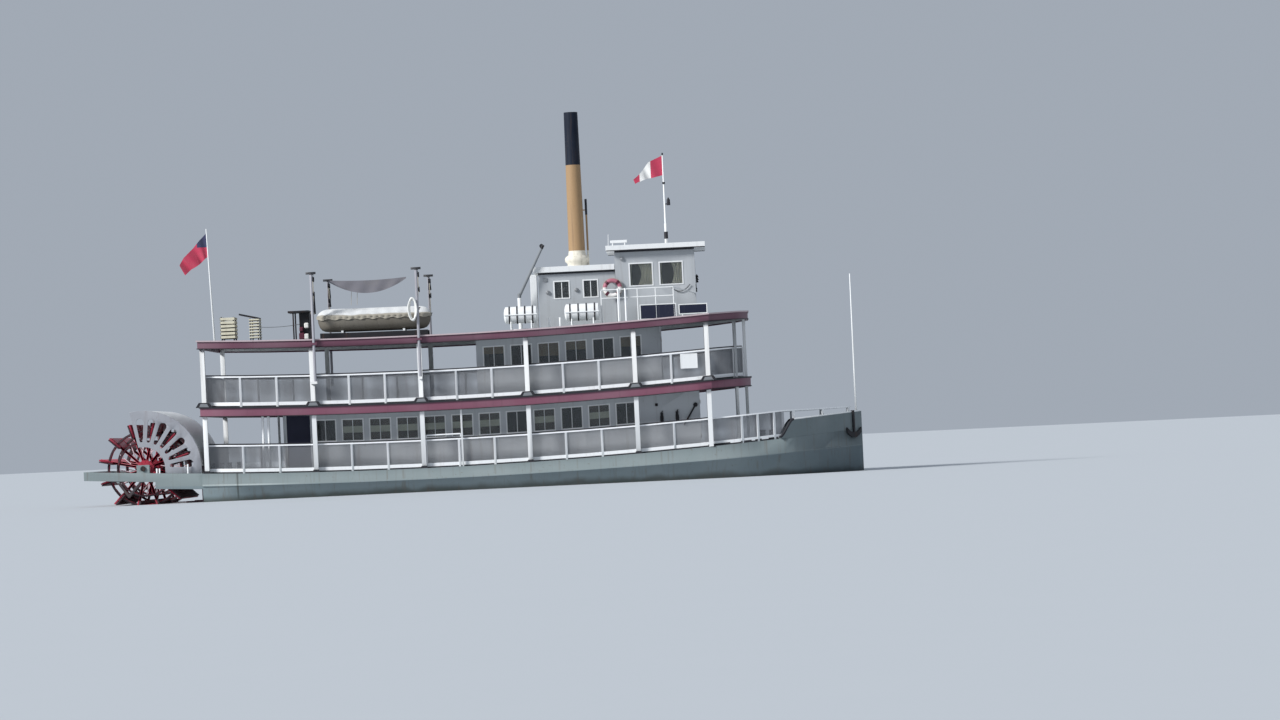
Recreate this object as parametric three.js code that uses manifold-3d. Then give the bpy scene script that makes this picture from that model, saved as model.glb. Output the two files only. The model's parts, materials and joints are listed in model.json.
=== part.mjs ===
// A sternwheel paddle boat: flat-bottomed hull, two covered decks, a texas cabin and a pilothouse on the
// roof, one smokestack, and a paddle wheel behind the transom under a slotted cover.
// Millimetres, +X to the bow, +Z up, starboard at -Y. Z is 0 at the flat bottom of the hull.
import * as THREE from "three";
import { mergeVertices } from "three/addons/utils/BufferGeometryUtils.js";
import Module from "manifold-3d";

const wasm = await Module();
wasm.setup();

// Hull
const WATERLINE = 850;
const HALF_BEAM = 3500;
const TRANSOM_X = -9690;
const BOW_START = 7000;
const STEM_X = 13930;
const STEM_HALF = 60;
const BOW_FULLNESS = 2.45;
const BOTTOM_HALF = 3100;
const BOTTOM_FULLNESS = 1.9;
const BILGE_RISE = 240;
const RUN_START = -6500;
const TRANSOM_RISE = 420;
const FOREFOOT_START = 11400;
const FOREFOOT_RISE = 480;
const STRAKE_HEIGHT = 80;
const STRAKE_PROUD = 35;

// Sheer: every deck rises by the same parabola, drawn as straight runs between stations
const SHEER_LOW_X = -1800;
const SHEER_RATE = 2.8e-6;
const KNUCKLE_RATE = 1.9e-6;
const STATION = 2000;

// Deck heights above the waterline at the low point of the sheer
const KNUCKLE = 470;
const MAIN_DECK = 840;
const UPPER_DECK = 3200;
const ROOF_DECK = 5570;
const DECK_THICK = 100;
const EDGE_DEPTH = { upper: 340, roof: 300 };
const EDGE_THICK = 60;

// Plan of the upper deck and of the roof: x, half width
const DECK_PLAN = [
  [-9660, 3500],
  [8550, 3500],
  [9600, 2200],
  [9970, 1000],
];

// Posts and rails
const POST_X = [-9515, -5630, -1785, 2005, 5845, 8440];
const POST = 160;
const CORNER_POST = 90;
const POST_INSET = 70;
const HEADER_DEPTH = 150;
const RAIL_HEIGHT = 1010;
const RAIL_BAR = 50;
const RAIL_INSET = 255;
const BOW_RAIL_INSET = 100;
const BOW_RAIL_END = 13600;
const BOARD = { low: 50, high: 170 };
const SCREEN = { thick: 8, low: 60, below: 42, bowEnd: 11150 };
// The rail draws out to the bulwark over this stretch
const RAIL_EASE = { start: 8600, length: 800 };
const POLE = { x: -400, width: 60 };
const RAIL_POST = { width: 80, thick: 40 };
const GAP = 0.4;

// Wheel and the frame behind the transom
const HUB = { x: -11810, z: 1290 };
const WHEEL_HALF = 2850;
const TIP_R = 1654;
const RIM_R = 1363;
const INNER_RIM_R = 1010;
const PADDLES = 12;
const SHAFT_R = 90;
const SHAFT_SIDES = 32;
const BEAM_Y = { inner: 3050, outer: 3300 };
const BEAM_AFT_X = -13930;
const BEAM_TOP = 850;
const BEAM_BOTTOM = 540;
const COVER_R = 2070;
const COVER_INNER_R = 770;
const COVER_END = 102;
const COVER_THICK = 40;

const RUDDER = {
  x: -9920, y: 1300, top: 50, low: -750,
  fore: 140, aft: 630, stock: 45, head: 570, half: 22,
};

const DAVIT = { x: [-5500, -1760], y: 3620, heel: 4100, top: 7960, r: 50, arm: 800, sides: 12 };

const material = (color, roughness, metalness = 0) =>
  new THREE.MeshStandardMaterial({ color, roughness, metalness });
const PAINT = {
  white: material(0xe9ebea, 0.5),
  cream: material(0xe6dfcf, 0.5),
  hull: material(0x9aa6a6, 0.55),
  maroon: material(0x5b2638, 0.5),
  crimson: material(0xa81f38, 0.5),
  deck: material(0x8b9192, 0.85),
  mesh: material(0x7f8688, 0.7, 0.4),
  buff: material(0xb98c4f, 0.55),
  black: material(0x1c1d20, 0.6, 0.3),
  steel: material(0x8a8f92, 0.45, 0.6),
  olive: material(0x5d5a48, 0.7),
  canvas: material(0xdedbd0, 0.9),
  greyCanvas: material(0x8d8c8e, 0.9),
  flag: material(0xb8202f, 0.85),
};

const boat = new THREE.Group();

function add(name, solid, paint) {
  const mesh = new THREE.Mesh(geometryOf(solid), paint);
  mesh.name = name;
  boat.add(mesh);
}

// Solids: closed meshes in, closed meshes out
function solidOf(geometry) {
  const bare = geometry.index ? geometry.toNonIndexed() : geometry.clone();
  bare.deleteAttribute("normal");
  bare.deleteAttribute("uv");
  const merged = mergeVertices(bare, 1e-3);
  return new wasm.Manifold(
    new wasm.Mesh({
      numProp: 3,
      vertProperties: merged.attributes.position.array,
      triVerts: new Uint32Array(merged.index.array),
    }),
  );
}

function geometryOf(solid) {
  const mesh = solid.getMesh();
  const geometry = new THREE.BufferGeometry();
  geometry.setAttribute("position", new THREE.BufferAttribute(new Float32Array(mesh.vertProperties), 3));
  geometry.setIndex(new THREE.BufferAttribute(new Uint32Array(mesh.triVerts), 1));
  geometry.computeVertexNormals();
  return geometry;
}

const fuse = (...solids) => solids.flat().reduce((whole, next) => whole.add(next));
const cut = (solid, ...tools) => tools.flat().reduce((left, tool) => left.subtract(tool), solid);

// The corners of a ring of points in space, as triangles of the flat face that it bounds
function capOf(ring) {
  const normal = new THREE.Vector3();
  ring.forEach((a, i) => {
    const b = ring[(i + 1) % ring.length];
    normal.add(new THREE.Vector3().crossVectors(a, b));
  });
  normal.normalize();
  const across = new THREE.Vector3().subVectors(ring[1], ring[0]).normalize();
  const up = new THREE.Vector3().crossVectors(normal, across);
  const flat = ring.map((p) => new THREE.Vector2(p.dot(across), p.dot(up)));
  return THREE.ShapeUtils.triangulateShape(flat, []);
}

// A solid through rings of points, each ring listed the same way round
function loft(rings) {
  const points = rings.map((ring) => ring.map((p) => new THREE.Vector3(...p)));
  const size = points[0].length;
  const triangles = [];
  const quad = (a, b, c, d) => triangles.push(a, b, c, a, c, d);
  for (let i = 0; i + 1 < points.length; i++)
    for (let k = 0; k < size; k++) {
      const next = (k + 1) % size;
      quad(points[i][k], points[i][next], points[i + 1][next], points[i + 1][k]);
    }
  const first = points[0];
  const last = points[points.length - 1];
  for (const [a, b, c] of capOf(first)) triangles.push(first[c], first[b], first[a]);
  for (const [a, b, c] of capOf(last)) triangles.push(last[a], last[b], last[c]);
  const normal = new THREE.Vector3();
  let volume = 0;
  for (let i = 0; i < triangles.length; i += 3)
    volume += triangles[i].dot(normal.crossVectors(triangles[i + 1], triangles[i + 2]));
  if (volume < 0) triangles.reverse();
  return solidOf(new THREE.BufferGeometry().setFromPoints(triangles));
}

// Sheer above the low point, by straight runs between stations
function sheer(x) {
  const low = Math.floor(x / STATION) * STATION;
  const rise = (at) => SHEER_RATE * (at - SHEER_LOW_X) ** 2;
  return rise(low) + ((rise(low + STATION) - rise(low)) * (x - low)) / STATION;
}
const height = (x, z) => WATERLINE + z + sheer(x);

function stations(x0, x1, more = []) {
  const all = [x0, x1, ...more.filter((x) => x > x0 && x < x1)];
  for (let x = Math.ceil(x0 / STATION) * STATION; x < x1; x += STATION) all.push(x);
  return [...new Set(all)].sort((a, b) => a - b);
}

function between(table, x) {
  const i = Math.max(1, table.findIndex((row) => row[0] >= x));
  const [x0, y0] = table[i - 1];
  const [x1, y1] = table[i];
  return y0 + ((y1 - y0) * (x - x0)) / (x1 - x0);
}

function hullHalf(x) {
  const t = Math.max(0, (x - BOW_START) / (STEM_X - BOW_START));
  return STEM_HALF + (HALF_BEAM - STEM_HALF) * (1 - t ** BOW_FULLNESS);
}

// The same outline drawn in by a distance, ends included
function insetPlan(plan, distance) {
  const corners = [[plan[0][0], 0], ...plan, [plan[plan.length - 1][0], 0]];
  return plan.map((_, i) => {
    const [before, at, after] = corners.slice(i, i + 3).map(([x, y]) => new THREE.Vector2(x, y));
    const d0 = at.clone().sub(before).normalize();
    const d1 = after.clone().sub(at).normalize();
    const middle = d0.clone().add(d1).normalize();
    const reach = distance / middle.dot(d0);
    return [at.x + middle.y * reach, at.y - middle.x * reach];
  });
}

// A point at a distance inside one side of an edge, measured square to that edge
function insideEdge(half, x, side, distance) {
  const slope = (half(x + 1) - half(x - 1)) / 2;
  const length = Math.hypot(1, slope);
  return [x + (slope / length) * distance, side * (half(x) - distance / length)];
}

// A straight timber or board along the boat that follows the sheer; heights are above the waterline
function plank(x0, x1, y0, y1, z0, z1) {
  return loft(
    stations(x0, x1).map((x) => [
      [x, y0, height(x, z0)],
      [x, y1, height(x, z0)],
      [x, y1, height(x, z1)],
      [x, y0, height(x, z1)],
    ]),
  );
}

// A level block, heights above the waterline
function block(x0, x1, y0, y1, z0, z1) {
  const geometry = new THREE.BoxGeometry(x1 - x0, y1 - y0, z1 - z0);
  geometry.translate((x0 + x1) / 2, (y0 + y1) / 2, WATERLINE + (z0 + z1) / 2);
  return solidOf(geometry);
}

// A slab whose outline is a table of x and half width
function slab(plan, z0, z1) {
  const xs = stations(plan[0][0], plan[plan.length - 1][0], plan.map((row) => row[0]));
  return loft(
    xs.map((x) => {
      const half = between(plan, x);
      return [
        [x, -half, height(x, z0)],
        [x, half, height(x, z0)],
        [x, half, height(x, z1)],
        [x, -half, height(x, z1)],
      ];
    }),
  );
}

// A wall or bar along a path in plan: near and far are its distances to the left of the path, low and
// high its heights, each a function of x
const always = (value) => () => value;
function along(path, near, far, low, high) {
  const rings = path.map(([x, y], i) => {
    const before = path[Math.max(0, i - 1)];
    const after = path[Math.min(path.length - 1, i + 1)];
    const d0 = new THREE.Vector2(x - before[0], y - before[1]).normalize();
    const d1 = new THREE.Vector2(after[0] - x, after[1] - y).normalize();
    if (i === 0) d0.copy(d1);
    if (i === path.length - 1) d1.copy(d0);
    const middle = d0.clone().add(d1).normalize();
    const stretch = 1 / middle.dot(d0);
    const reach = (away) => away(x) * stretch;
    const [nx, ny] = [x - middle.y * reach(near), y + middle.x * reach(near)];
    const [fx, fy] = [x - middle.y * reach(far), y + middle.x * reach(far)];
    return [
      [nx, ny, height(nx, low(x))],
      [fx, fy, height(fx, low(x))],
      [fx, fy, height(fx, high(x))],
      [nx, ny, height(nx, high(x))],
    ];
  });
  return loft(rings);
}

// A round bar between two points, heights above the waterline
function rod(from, to, r0, r1 = r0, sides = 8) {
  const a = new THREE.Vector3(from[0], from[1], from[2] + WATERLINE);
  const b = new THREE.Vector3(to[0], to[1], to[2] + WATERLINE);
  const geometry = new THREE.CylinderGeometry(r1, r0, a.distanceTo(b), sides);
  const turn = new THREE.Quaternion().setFromUnitVectors(
    new THREE.Vector3(0, 1, 0),
    b.clone().sub(a).normalize(),
  );
  geometry.applyQuaternion(turn);
  const middle = a.clone().add(b).multiplyScalar(0.5);
  geometry.translate(middle.x, middle.y, middle.z);
  return solidOf(geometry);
}

// A flat shape in the X-Z plane, as thick as y0 to y1, its own points above the waterline
function plate(shape, y0, y1) {
  const geometry = new THREE.ExtrudeGeometry(shape, { depth: y1 - y0, bevelEnabled: false });
  geometry.rotateX(Math.PI / 2);
  geometry.translate(0, y1, WATERLINE);
  return solidOf(geometry);
}

function outline(points) {
  return new THREE.Shape(points.map(([x, z]) => new THREE.Vector2(x, z)));
}

const both = (make) => {
  make("starboard", -1);
  make("port", 1);
};

// Hull: flat bottom, raked run aft, rounded forefoot, a strake at the knuckle
const BOW_FRAMES = [9000, 10000, 11000, 11800, 12500, 13100, 13500, 13780];
function makeHull() {
  const xs = stations(TRANSOM_X, STEM_X, [RUN_START, FOREFOOT_START, ...BOW_FRAMES]);
  const rings = xs.map((x) => {
    const t = Math.max(0, (x - BOW_START) / (STEM_X - BOW_START));
    const half = hullHalf(x);
    const bottom = STEM_HALF / 2 + (BOTTOM_HALF - STEM_HALF / 2) * (1 - t ** BOTTOM_FULLNESS);
    const run = Math.max(0, (RUN_START - x) / (RUN_START - TRANSOM_X));
    const forefoot = Math.max(0, (x - FOREFOOT_START) / (STEM_X - FOREFOOT_START));
    const low = TRANSOM_RISE * run + FOREFOOT_RISE * forefoot ** 2.2;
    const bilge = bottom + 0.6 * (half - bottom);
    const knuckle = WATERLINE + KNUCKLE + KNUCKLE_RATE * (x - SHEER_LOW_X) ** 2;
    const side = [
      [bottom, low],
      [bilge, low + BILGE_RISE],
      [half, knuckle - STRAKE_HEIGHT / 2],
      [half + STRAKE_PROUD, knuckle - STRAKE_HEIGHT / 3],
      [half + STRAKE_PROUD, knuckle + STRAKE_HEIGHT / 3],
      [half, knuckle + STRAKE_HEIGHT / 2],
      [half, height(x, MAIN_DECK)],
    ];
    const starboard = side.map(([y, z]) => [x, -y, z]);
    const port = side.map(([y, z]) => [x, y, z]).reverse();
    return [...starboard, ...port];
  });
  add("hull", loft(rings), PAINT.hull);
}

const BULWARK = { aft: 10900, full: 11430, low: 40, high: 630, thick: 60 };
const BULWARK_BENDS = [11030, 11160, 11300, 11430, 12000, 12400, 12800, 13100, 13400, 13650, 13800];
function makeBulwark() {
  const starboard = stations(BULWARK.aft, STEM_X, BULWARK_BENDS).map((x) => [x, -hullHalf(x)]);
  const port = starboard.map(([x, y]) => [x, -y]).reverse();
  const rise = (x) => {
    const t = Math.min(1, Math.max(0, (x - BULWARK.aft) / (BULWARK.full - BULWARK.aft)));
    return MAIN_DECK + BULWARK.low + (BULWARK.high - BULWARK.low) * (3 - 2 * t) * t * t;
  };
  const path = [...starboard, ...port];
  const wall = along(path, always(1), always(BULWARK.thick), always(MAIN_DECK + GAP), rise);
  add("bow_bulwark", wall, PAINT.hull);
}

// A stockless anchor hangs by its hook from the bulwark's rim, flat against the bow on the starboard side
const ANCHOR = { x: 13590, aft: 13400, fore: 13650, clear: 12, thick: 60, hookIn: 55, head: 60, reach: 24 };
const ANCHOR_HALF = [
  [0, 1220],
  [120, 1225],
  [290, 1310],
  [390, 1400],
  [400, 1590],
  [290, 1500],
  [150, 1420],
  [45, 1400],
  [35, 2130],
];
function makeAnchor() {
  const [aft, fore] = [ANCHOR.aft, ANCHOR.fore].map((x) => new THREE.Vector2(x, -hullHalf(x)));
  const place = aft.clone().lerp(fore, (ANCHOR.x - ANCHOR.aft) / (ANCHOR.fore - ANCHOR.aft));
  const angle = THREE.MathUtils.radToDeg(fore.clone().sub(aft).angle());
  const shape = outline([...ANCHOR_HALF, ...ANCHOR_HALF.slice(1).reverse().map(([u, z]) => [-u, z])]);
  const body = plate(shape, -ANCHOR.clear - ANCHOR.thick, -ANCHOR.clear);
  const rim = height(ANCHOR.x + ANCHOR.reach, MAIN_DECK + BULWARK.high) - WATERLINE + GAP;
  const hook = block(-35, 35, -ANCHOR.clear - ANCHOR.thick, ANCHOR.hookIn, rim, rim + ANCHOR.head);
  const shank = block(-35, 35, -ANCHOR.clear - ANCHOR.thick, -ANCHOR.clear, 2100, rim + 1);
  add("anchor", turned(fuse(body, shank, hook), angle, place.x, place.y, 0), PAINT.black);
}

// A deck is a slab with a deep board round its edge
function makeDeck(name, top) {
  add(name, slab(insetPlan(DECK_PLAN, EDGE_THICK + GAP), top - DECK_THICK, top), PAINT.deck);
}

function makeFascia(name, top, depth, collars = [], bores = []) {
  const whole = slab(DECK_PLAN, top - depth, top);
  const middle = slab(insetPlan(DECK_PLAN, EDGE_THICK), top - depth - 10, top + 10);
  add(name, cut(fuse(cut(whole, middle), collars), bores), PAINT.maroon);
}

// Collars on the roof edge guide the davits, and a shelf on the post below carries each heel
const davitSpots = () => DAVIT.x.flatMap((x) => [-1, 1].map((side) => [x, side * DAVIT.y, side]));
function davitBores() {
  const clear = (DAVIT.r + 0.35) / Math.cos(Math.PI / (2 * DAVIT.sides));
  return davitSpots().map(([x, y]) => rod([x, y, 5000], [x, y, 6000], clear, clear, 2 * DAVIT.sides));
}
const davitCollars = () =>
  davitSpots().map(([x, y, side]) => {
    const ys = [side * (HALF_BEAM - 20), y + side * 70].sort((a, b) => a - b);
    return block(x - 110, x + 110, ...ys, 5390, 5470);
  });
const davitShelves = (side) =>
  DAVIT.x.map((x, i) => {
    const ys = [side * (HALF_BEAM - POST_INSET - 20), side * (DAVIT.y + 60)].sort((a, b) => a - b);
    return block(POST_X[i + 1] - 40, x + 60, ...ys, DAVIT.heel - 90, DAVIT.heel - GAP);
  });

// Posts with the header that they carry under a deck
function makePosts(name, side, base, deck, more = []) {
  const ceiling = deck - DECK_THICK - GAP;
  const straight = stations(POST_X[0] - POST / 2, 8500).map((x) => [x, side * HALF_BEAM]);
  const corners = DECK_PLAN.slice(1).map(([x, half]) => [x, side * half]);
  const edge = [...straight, ...corners];
  const path = side < 0 ? edge : edge.reverse();
  const header = along(
    path,
    always(POST_INSET),
    always(POST_INSET + POST),
    always(ceiling - HEADER_DEPTH),
    always(ceiling),
  );
  const post = ([x, y], width) => {
    const half = width / 2;
    return plank(x - half, x + half, y - half, y + half, base + GAP, ceiling - HEADER_DEPTH / 2);
  };
  const middle = POST_INSET + POST / 2;
  const line = side * (HALF_BEAM - middle);
  const posts = POST_X.map((x) => post([x, line], POST));
  const pole = deck === UPPER_DECK ? [post([POLE.x, line], POLE.width)] : [];
  const front = insetPlan(DECK_PLAN, middle)
    .slice(2)
    .map(([x, half]) => post([x, side * half], CORNER_POST));
  add(name, fuse(header, posts, pole, front, more), PAINT.white);
}

// Rail posts stand between the main posts, two in each long span and one in the short one
const LONG_SPAN = 3000;
function railPosts() {
  return POST_X.slice(1).flatMap((x, i) => {
    const span = x - POST_X[i];
    const parts = span > LONG_SPAN ? 3 : 2;
    return Array.from({ length: parts - 1 }, (_, k) => x - (span * (k + 1)) / parts);
  });
}

// The line of a rail on one side, as x and half width: across the stern, along the side and round the bow
const BOW_RAIL_POSTS = [9560, 10130, 10720, 11430, 12500, 13450];
const BOW_RAIL_BENDS = [8600, 9400, 10400, 10900, SCREEN.bowEnd, 11400, 11900, 12400, 12800, 13200];
const AFT_RAIL_POSTS = [1090, 2170];
const RAIL_LINE = HALF_BEAM - RAIL_INSET;

function mainRailLine(end) {
  return stations(POST_X[0], end, BOW_RAIL_BENDS).map((x) => bowPoint(x));
}

function bowPoint(x) {
  const ease = THREE.MathUtils.clamp((x - RAIL_EASE.start) / RAIL_EASE.length, 0, 1);
  return insideEdge(hullHalf, x, 1, RAIL_INSET + (BOW_RAIL_INSET - RAIL_INSET) * ease);
}

function upperRailLine() {
  const straight = stations(POST_X[0], 8400).map((x) => [x, RAIL_LINE]);
  return [...straight, ...insetPlan(DECK_PLAN, RAIL_INSET).slice(1)];
}

// A wall on one side of a line, its near and far faces measured inwards from that line
function besideLine(line, side, near, far, low, high) {
  const path = line.map(([x, half]) => [x, side * half]);
  return along(side < 0 ? path : path.reverse(), always(near), always(far), low, high);
}

// The short run of a line that a rail post covers
function postOn(line, x) {
  const i = line.findIndex((row) => row[0] >= x);
  const [a, b] = [line[i - 1], line[i]].map((row) => new THREE.Vector2(...row));
  const reach = b.clone().sub(a).setLength(RAIL_POST.width / 2);
  const middle = a.lerp(b, (x - a.x) / (b.x - a.x));
  return [middle.clone().sub(reach).toArray(), middle.add(reach).toArray()];
}

const postAcross = (x, y) => [
  [x, y - RAIL_POST.width / 2],
  [x, y + RAIL_POST.width / 2],
];

// A rail is a top bar and a board near the deck along one line, on flat posts and round corner posts
function makeRail(name, side, { line, runs, corners = [], deck, top }) {
  const half = RAIL_BAR / 2;
  const flat = RAIL_POST.thick / 2;
  const bar = besideLine(line, side, -half, half, (x) => top(x) - RAIL_BAR, top);
  const boardLow = always(deck + BOARD.low);
  const board = besideLine(line, side, -half / 2, half / 2, boardLow, always(deck + BOARD.high));
  const foot = always(deck + GAP);
  const posts = runs.map((run) => besideLine(run, side, -flat, flat, foot, (x) => top(x) - half));
  const round = corners.map(([x, y]) => {
    const low = height(x + half, deck) - WATERLINE + GAP;
    return rod([x, side * y, low], [x, side * y, low + top(x) - deck - half], half);
  });
  add(name, fuse(bar, board, posts, round), PAINT.white);
}

// Wire mesh stands as one thin plate against the inner faces of both rails of a deck
function makeScreens(name, { line, deck, top }) {
  const near = RAIL_BAR / 2 + GAP;
  const far = near + SCREEN.thick;
  const high = (x) => top(x) - SCREEN.below;
  const sides = [-1, 1].map((side) => besideLine(line, side, near, far, always(deck + SCREEN.low), high));
  add(name, fuse(sides), PAINT.mesh);
}

const BOW_DROP = { start: 11000, end: 13600, fall: 160 };
function makeMainRails() {
  const drop = (x) => THREE.MathUtils.clamp((x - BOW_DROP.start) / (BOW_DROP.end - BOW_DROP.start), 0, 1);
  const deck = MAIN_DECK;
  const top = (x) => MAIN_DECK + RAIL_HEIGHT - BOW_DROP.fall * drop(x);
  const stern = POST_X[0];
  const line = [[stern, GAP], ...mainRailLine(BOW_RAIL_END)];
  const across = AFT_RAIL_POSTS.map((y) => postAcross(stern, y));
  const runs = [...across, ...[...railPosts(), ...BOW_RAIL_POSTS].map((x) => postOn(line, x))];
  both((word, side) => makeRail("main_rail_" + word, side, { line, runs, deck, top }));
  makeScreens("main_screens", { line: [[stern, -1], ...mainRailLine(SCREEN.bowEnd)], deck, top });
}

const UPPER_RAIL_HEIGHT = 1100;
function makeUpperRails() {
  const edge = upperRailLine();
  const corners = edge.slice(-2);
  const front = corners[1][0];
  const stern = POST_X[0];
  const deck = UPPER_DECK;
  const top = always(UPPER_DECK + UPPER_RAIL_HEIGHT);
  const line = [[stern, GAP], ...edge, [front, GAP]];
  const across = AFT_RAIL_POSTS.map((y) => postAcross(stern, y));
  const runs = [...across, ...railPosts().map((x) => postOn(line, x))];
  both((word, side) => makeRail("upper_rail_" + word, side, { line, runs, corners, deck, top }));
  makeScreens("upper_screens", { line: [[stern, -1], ...edge, [front, -1]], deck, top });
}

// Cabins: each side is a wall with its windows cut
const WALL = 60;
const WINDOW = { pitch: 980, width: 750, sill: 1080, head: 1850 };
const DOOR = { width: 800, thick: 40, sill: 90, head: 1990, gap: 6 };
const HINGE = { radius: 10, out: 13, length: 70, leaf: 40 };

function sideWall(x0, x1, side, half, floor, ceiling, windows) {
  const y0 = side < 0 ? -half : half - WALL;
  const holes = windows.map(([x, width, sill, head]) =>
    plank(x - width / 2, x + width / 2, y0 - 10, y0 + WALL + 10, floor + sill, floor + head),
  );
  return cut(plank(x0, x1, y0, y0 + WALL, floor + GAP, ceiling - GAP), holes);
}

function rowOfWindows(first, count, shape = WINDOW) {
  const { pitch, width, sill, head } = shape;
  return Array.from({ length: count }, (_, i) => [first + i * pitch, width, sill, head]);
}

// An upright hinge knuckle on a door's axis, with a leaf to what carries it
function knuckle(axis, z, leafX, leafY) {
  const pin = rod([...axis, z], [...axis, z + HINGE.length], HINGE.radius, HINGE.radius, 12);
  return fuse(pin, block(...leafX, ...leafY, z, z + HINGE.length));
}

function turned(solid, degrees, x, y, z) {
  const geometry = geometryOf(solid);
  geometry.rotateZ(THREE.MathUtils.degToRad(degrees));
  geometry.translate(x, y, z);
  return solidOf(geometry);
}

// A door that opens outwards, its hinge on the left of someone who faces it from outside
function makeDoor(name, degrees, x, y, floor) {
  const half = DOOR.width / 2;
  const axis = [HINGE.out, half];
  const low = DOOR.sill + DOOR.gap;
  const panel = block(-DOOR.thick, 0, DOOR.gap - half, half - DOOR.gap, low, DOOR.head - DOOR.gap);
  const lifts = [DOOR.sill + 250, DOOR.head - 400];
  const leafX = [-8, HINGE.out + 3];
  const doorLeaf = (z) => knuckle(axis, z + HINGE.length + GAP, leafX, [half - HINGE.leaf, half - 2]);
  const wallLeaf = (z) => knuckle(axis, z, leafX, [half + 2, half + HINGE.leaf]);
  const opening = block(-WALL - 20, 20, -half, half, DOOR.sill, DOOR.head);
  const base = height(x, floor) - WATERLINE;
  const put = (solid) => turned(solid, degrees, x, y, base);
  add(name, put(fuse(panel, lifts.map(doorLeaf))), PAINT.cream);
  return { opening: put(opening), hinges: lifts.map((z) => put(wallLeaf(z))) };
}

function endWall(x, out, half, floor, ceiling, windows, door) {
  const x0 = Math.min(x, x - out * WALL);
  const side = half - WALL - GAP;
  const holes = windows.map(([y, width, sill, head]) =>
    plank(x0 - 10, x0 + WALL + 10, y - width / 2, y + width / 2, floor + sill, floor + head),
  );
  const wall = cut(plank(x0, x0 + WALL, -side, side, floor + GAP, ceiling - GAP), holes, door.opening);
  return fuse(wall, door.hinges);
}

const END_WINDOWS = [
  [-1700, 750, 1080, 1850],
  [1700, 750, 1080, 1850],
];

function makeCabin({ name, x0, x1, half, floor, ceiling, windows }) {
  both((word, side) =>
    add(name + "_wall_" + word, sideWall(x0, x1, side, half, floor, ceiling, windows), PAINT.white),
  );
  const ends = [
    ["front", x1, 1],
    ["aft", x0, -1],
  ];
  for (const [word, x, out] of ends) {
    const door = makeDoor(name + "_door_" + word, out > 0 ? 0 : 180, x, 0, floor);
    add(name + "_wall_" + word, endWall(x, out, half, floor, ceiling, END_WINDOWS, door), PAINT.white);
  }
}

// Texas cabin and pilothouse on the roof
const TEXAS_EAVE = { aft: 170, fore: -5, side: 150 };
const TEXAS = { x0: 2500, x1: 5270, half: 1500, top: 7650, roof: 7850, eave: TEXAS_EAVE };
const PILOT_EAVE = { aft: 300, fore: 400, side: 250 };
const PILOT = { x0: 5280, x1: 8150, half: 1650, top: 8320, roof: 8500, eave: PILOT_EAVE };
const TEXAS_GLASS = { low: 6700, high: 7320, spots: [[3330, 550], [4370, 520]] };
const PILOT_GLASS = { low: 7020, high: 7830, starboard: [6210, 7290], port: [7290], width: 830 };
const PILOT_FRONT = { spots: [-1000, 0, 1000], width: 800 };
const PILOT_DOOR_X = 5900;

// Four walls of a deckhouse in one shell with a level top
function deckhouse({ x0, x1, half, top }, floor, holes) {
  const shell = loft(
    stations(x0, x1).map((x) => [
      [x, -half, height(x, floor + GAP)],
      [x, half, height(x, floor + GAP)],
      [x, half, WATERLINE + top - GAP],
      [x, -half, WATERLINE + top - GAP],
    ]),
  );
  const room = block(x0 + WALL, x1 - WALL, -half + WALL, half - WALL, floor - 100, top + 100);
  return cut(shell, room, holes);
}

// A window's hole through a side wall
function sideHole({ half }, { low, high }, x, width, side) {
  const y = side * half;
  return block(x - width / 2, x + width / 2, y - WALL - 20, y + WALL + 20, low, high);
}

function flatRoof({ x0, x1, half, top, roof, eave }) {
  return block(x0 - eave.aft, x1 + eave.fore, -half - eave.side, half + eave.side, top + GAP, roof);
}

function makeTexas() {
  const holes = [-1, 1].flatMap((side) =>
    TEXAS_GLASS.spots.map(([x, width]) => sideHole(TEXAS, TEXAS_GLASS, x, width, side)),
  );
  const door = makeDoor("texas_door", 180, TEXAS.x0, 0, ROOF_DECK);
  const walls = deckhouse(TEXAS, ROOF_DECK, [...holes, door.opening]);
  add("texas_walls", fuse(walls, door.hinges), PAINT.white);
  add("texas_roof", flatRoof(TEXAS), PAINT.white);
}

function makePilothouse() {
  const { low, high, starboard, port, width } = PILOT_GLASS;
  const sides = [
    ...starboard.map((x) => sideHole(PILOT, PILOT_GLASS, x, width, -1)),
    ...port.map((x) => sideHole(PILOT, PILOT_GLASS, x, width, 1)),
  ];
  const front = PILOT_FRONT.spots.map((y) => {
    const reach = PILOT_FRONT.width / 2;
    return block(PILOT.x1 - WALL - 20, PILOT.x1 + 20, y - reach, y + reach, low, high);
  });
  const door = makeDoor("pilothouse_door", 90, PILOT_DOOR_X, PILOT.half, ROOF_DECK);
  const walls = deckhouse(PILOT, ROOF_DECK, [...sides, ...front, door.opening]);
  add("pilothouse_walls", fuse(walls, door.hinges), PAINT.white);
  add("pilothouse_roof", flatRoof(PILOT), PAINT.white);
}

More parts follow.
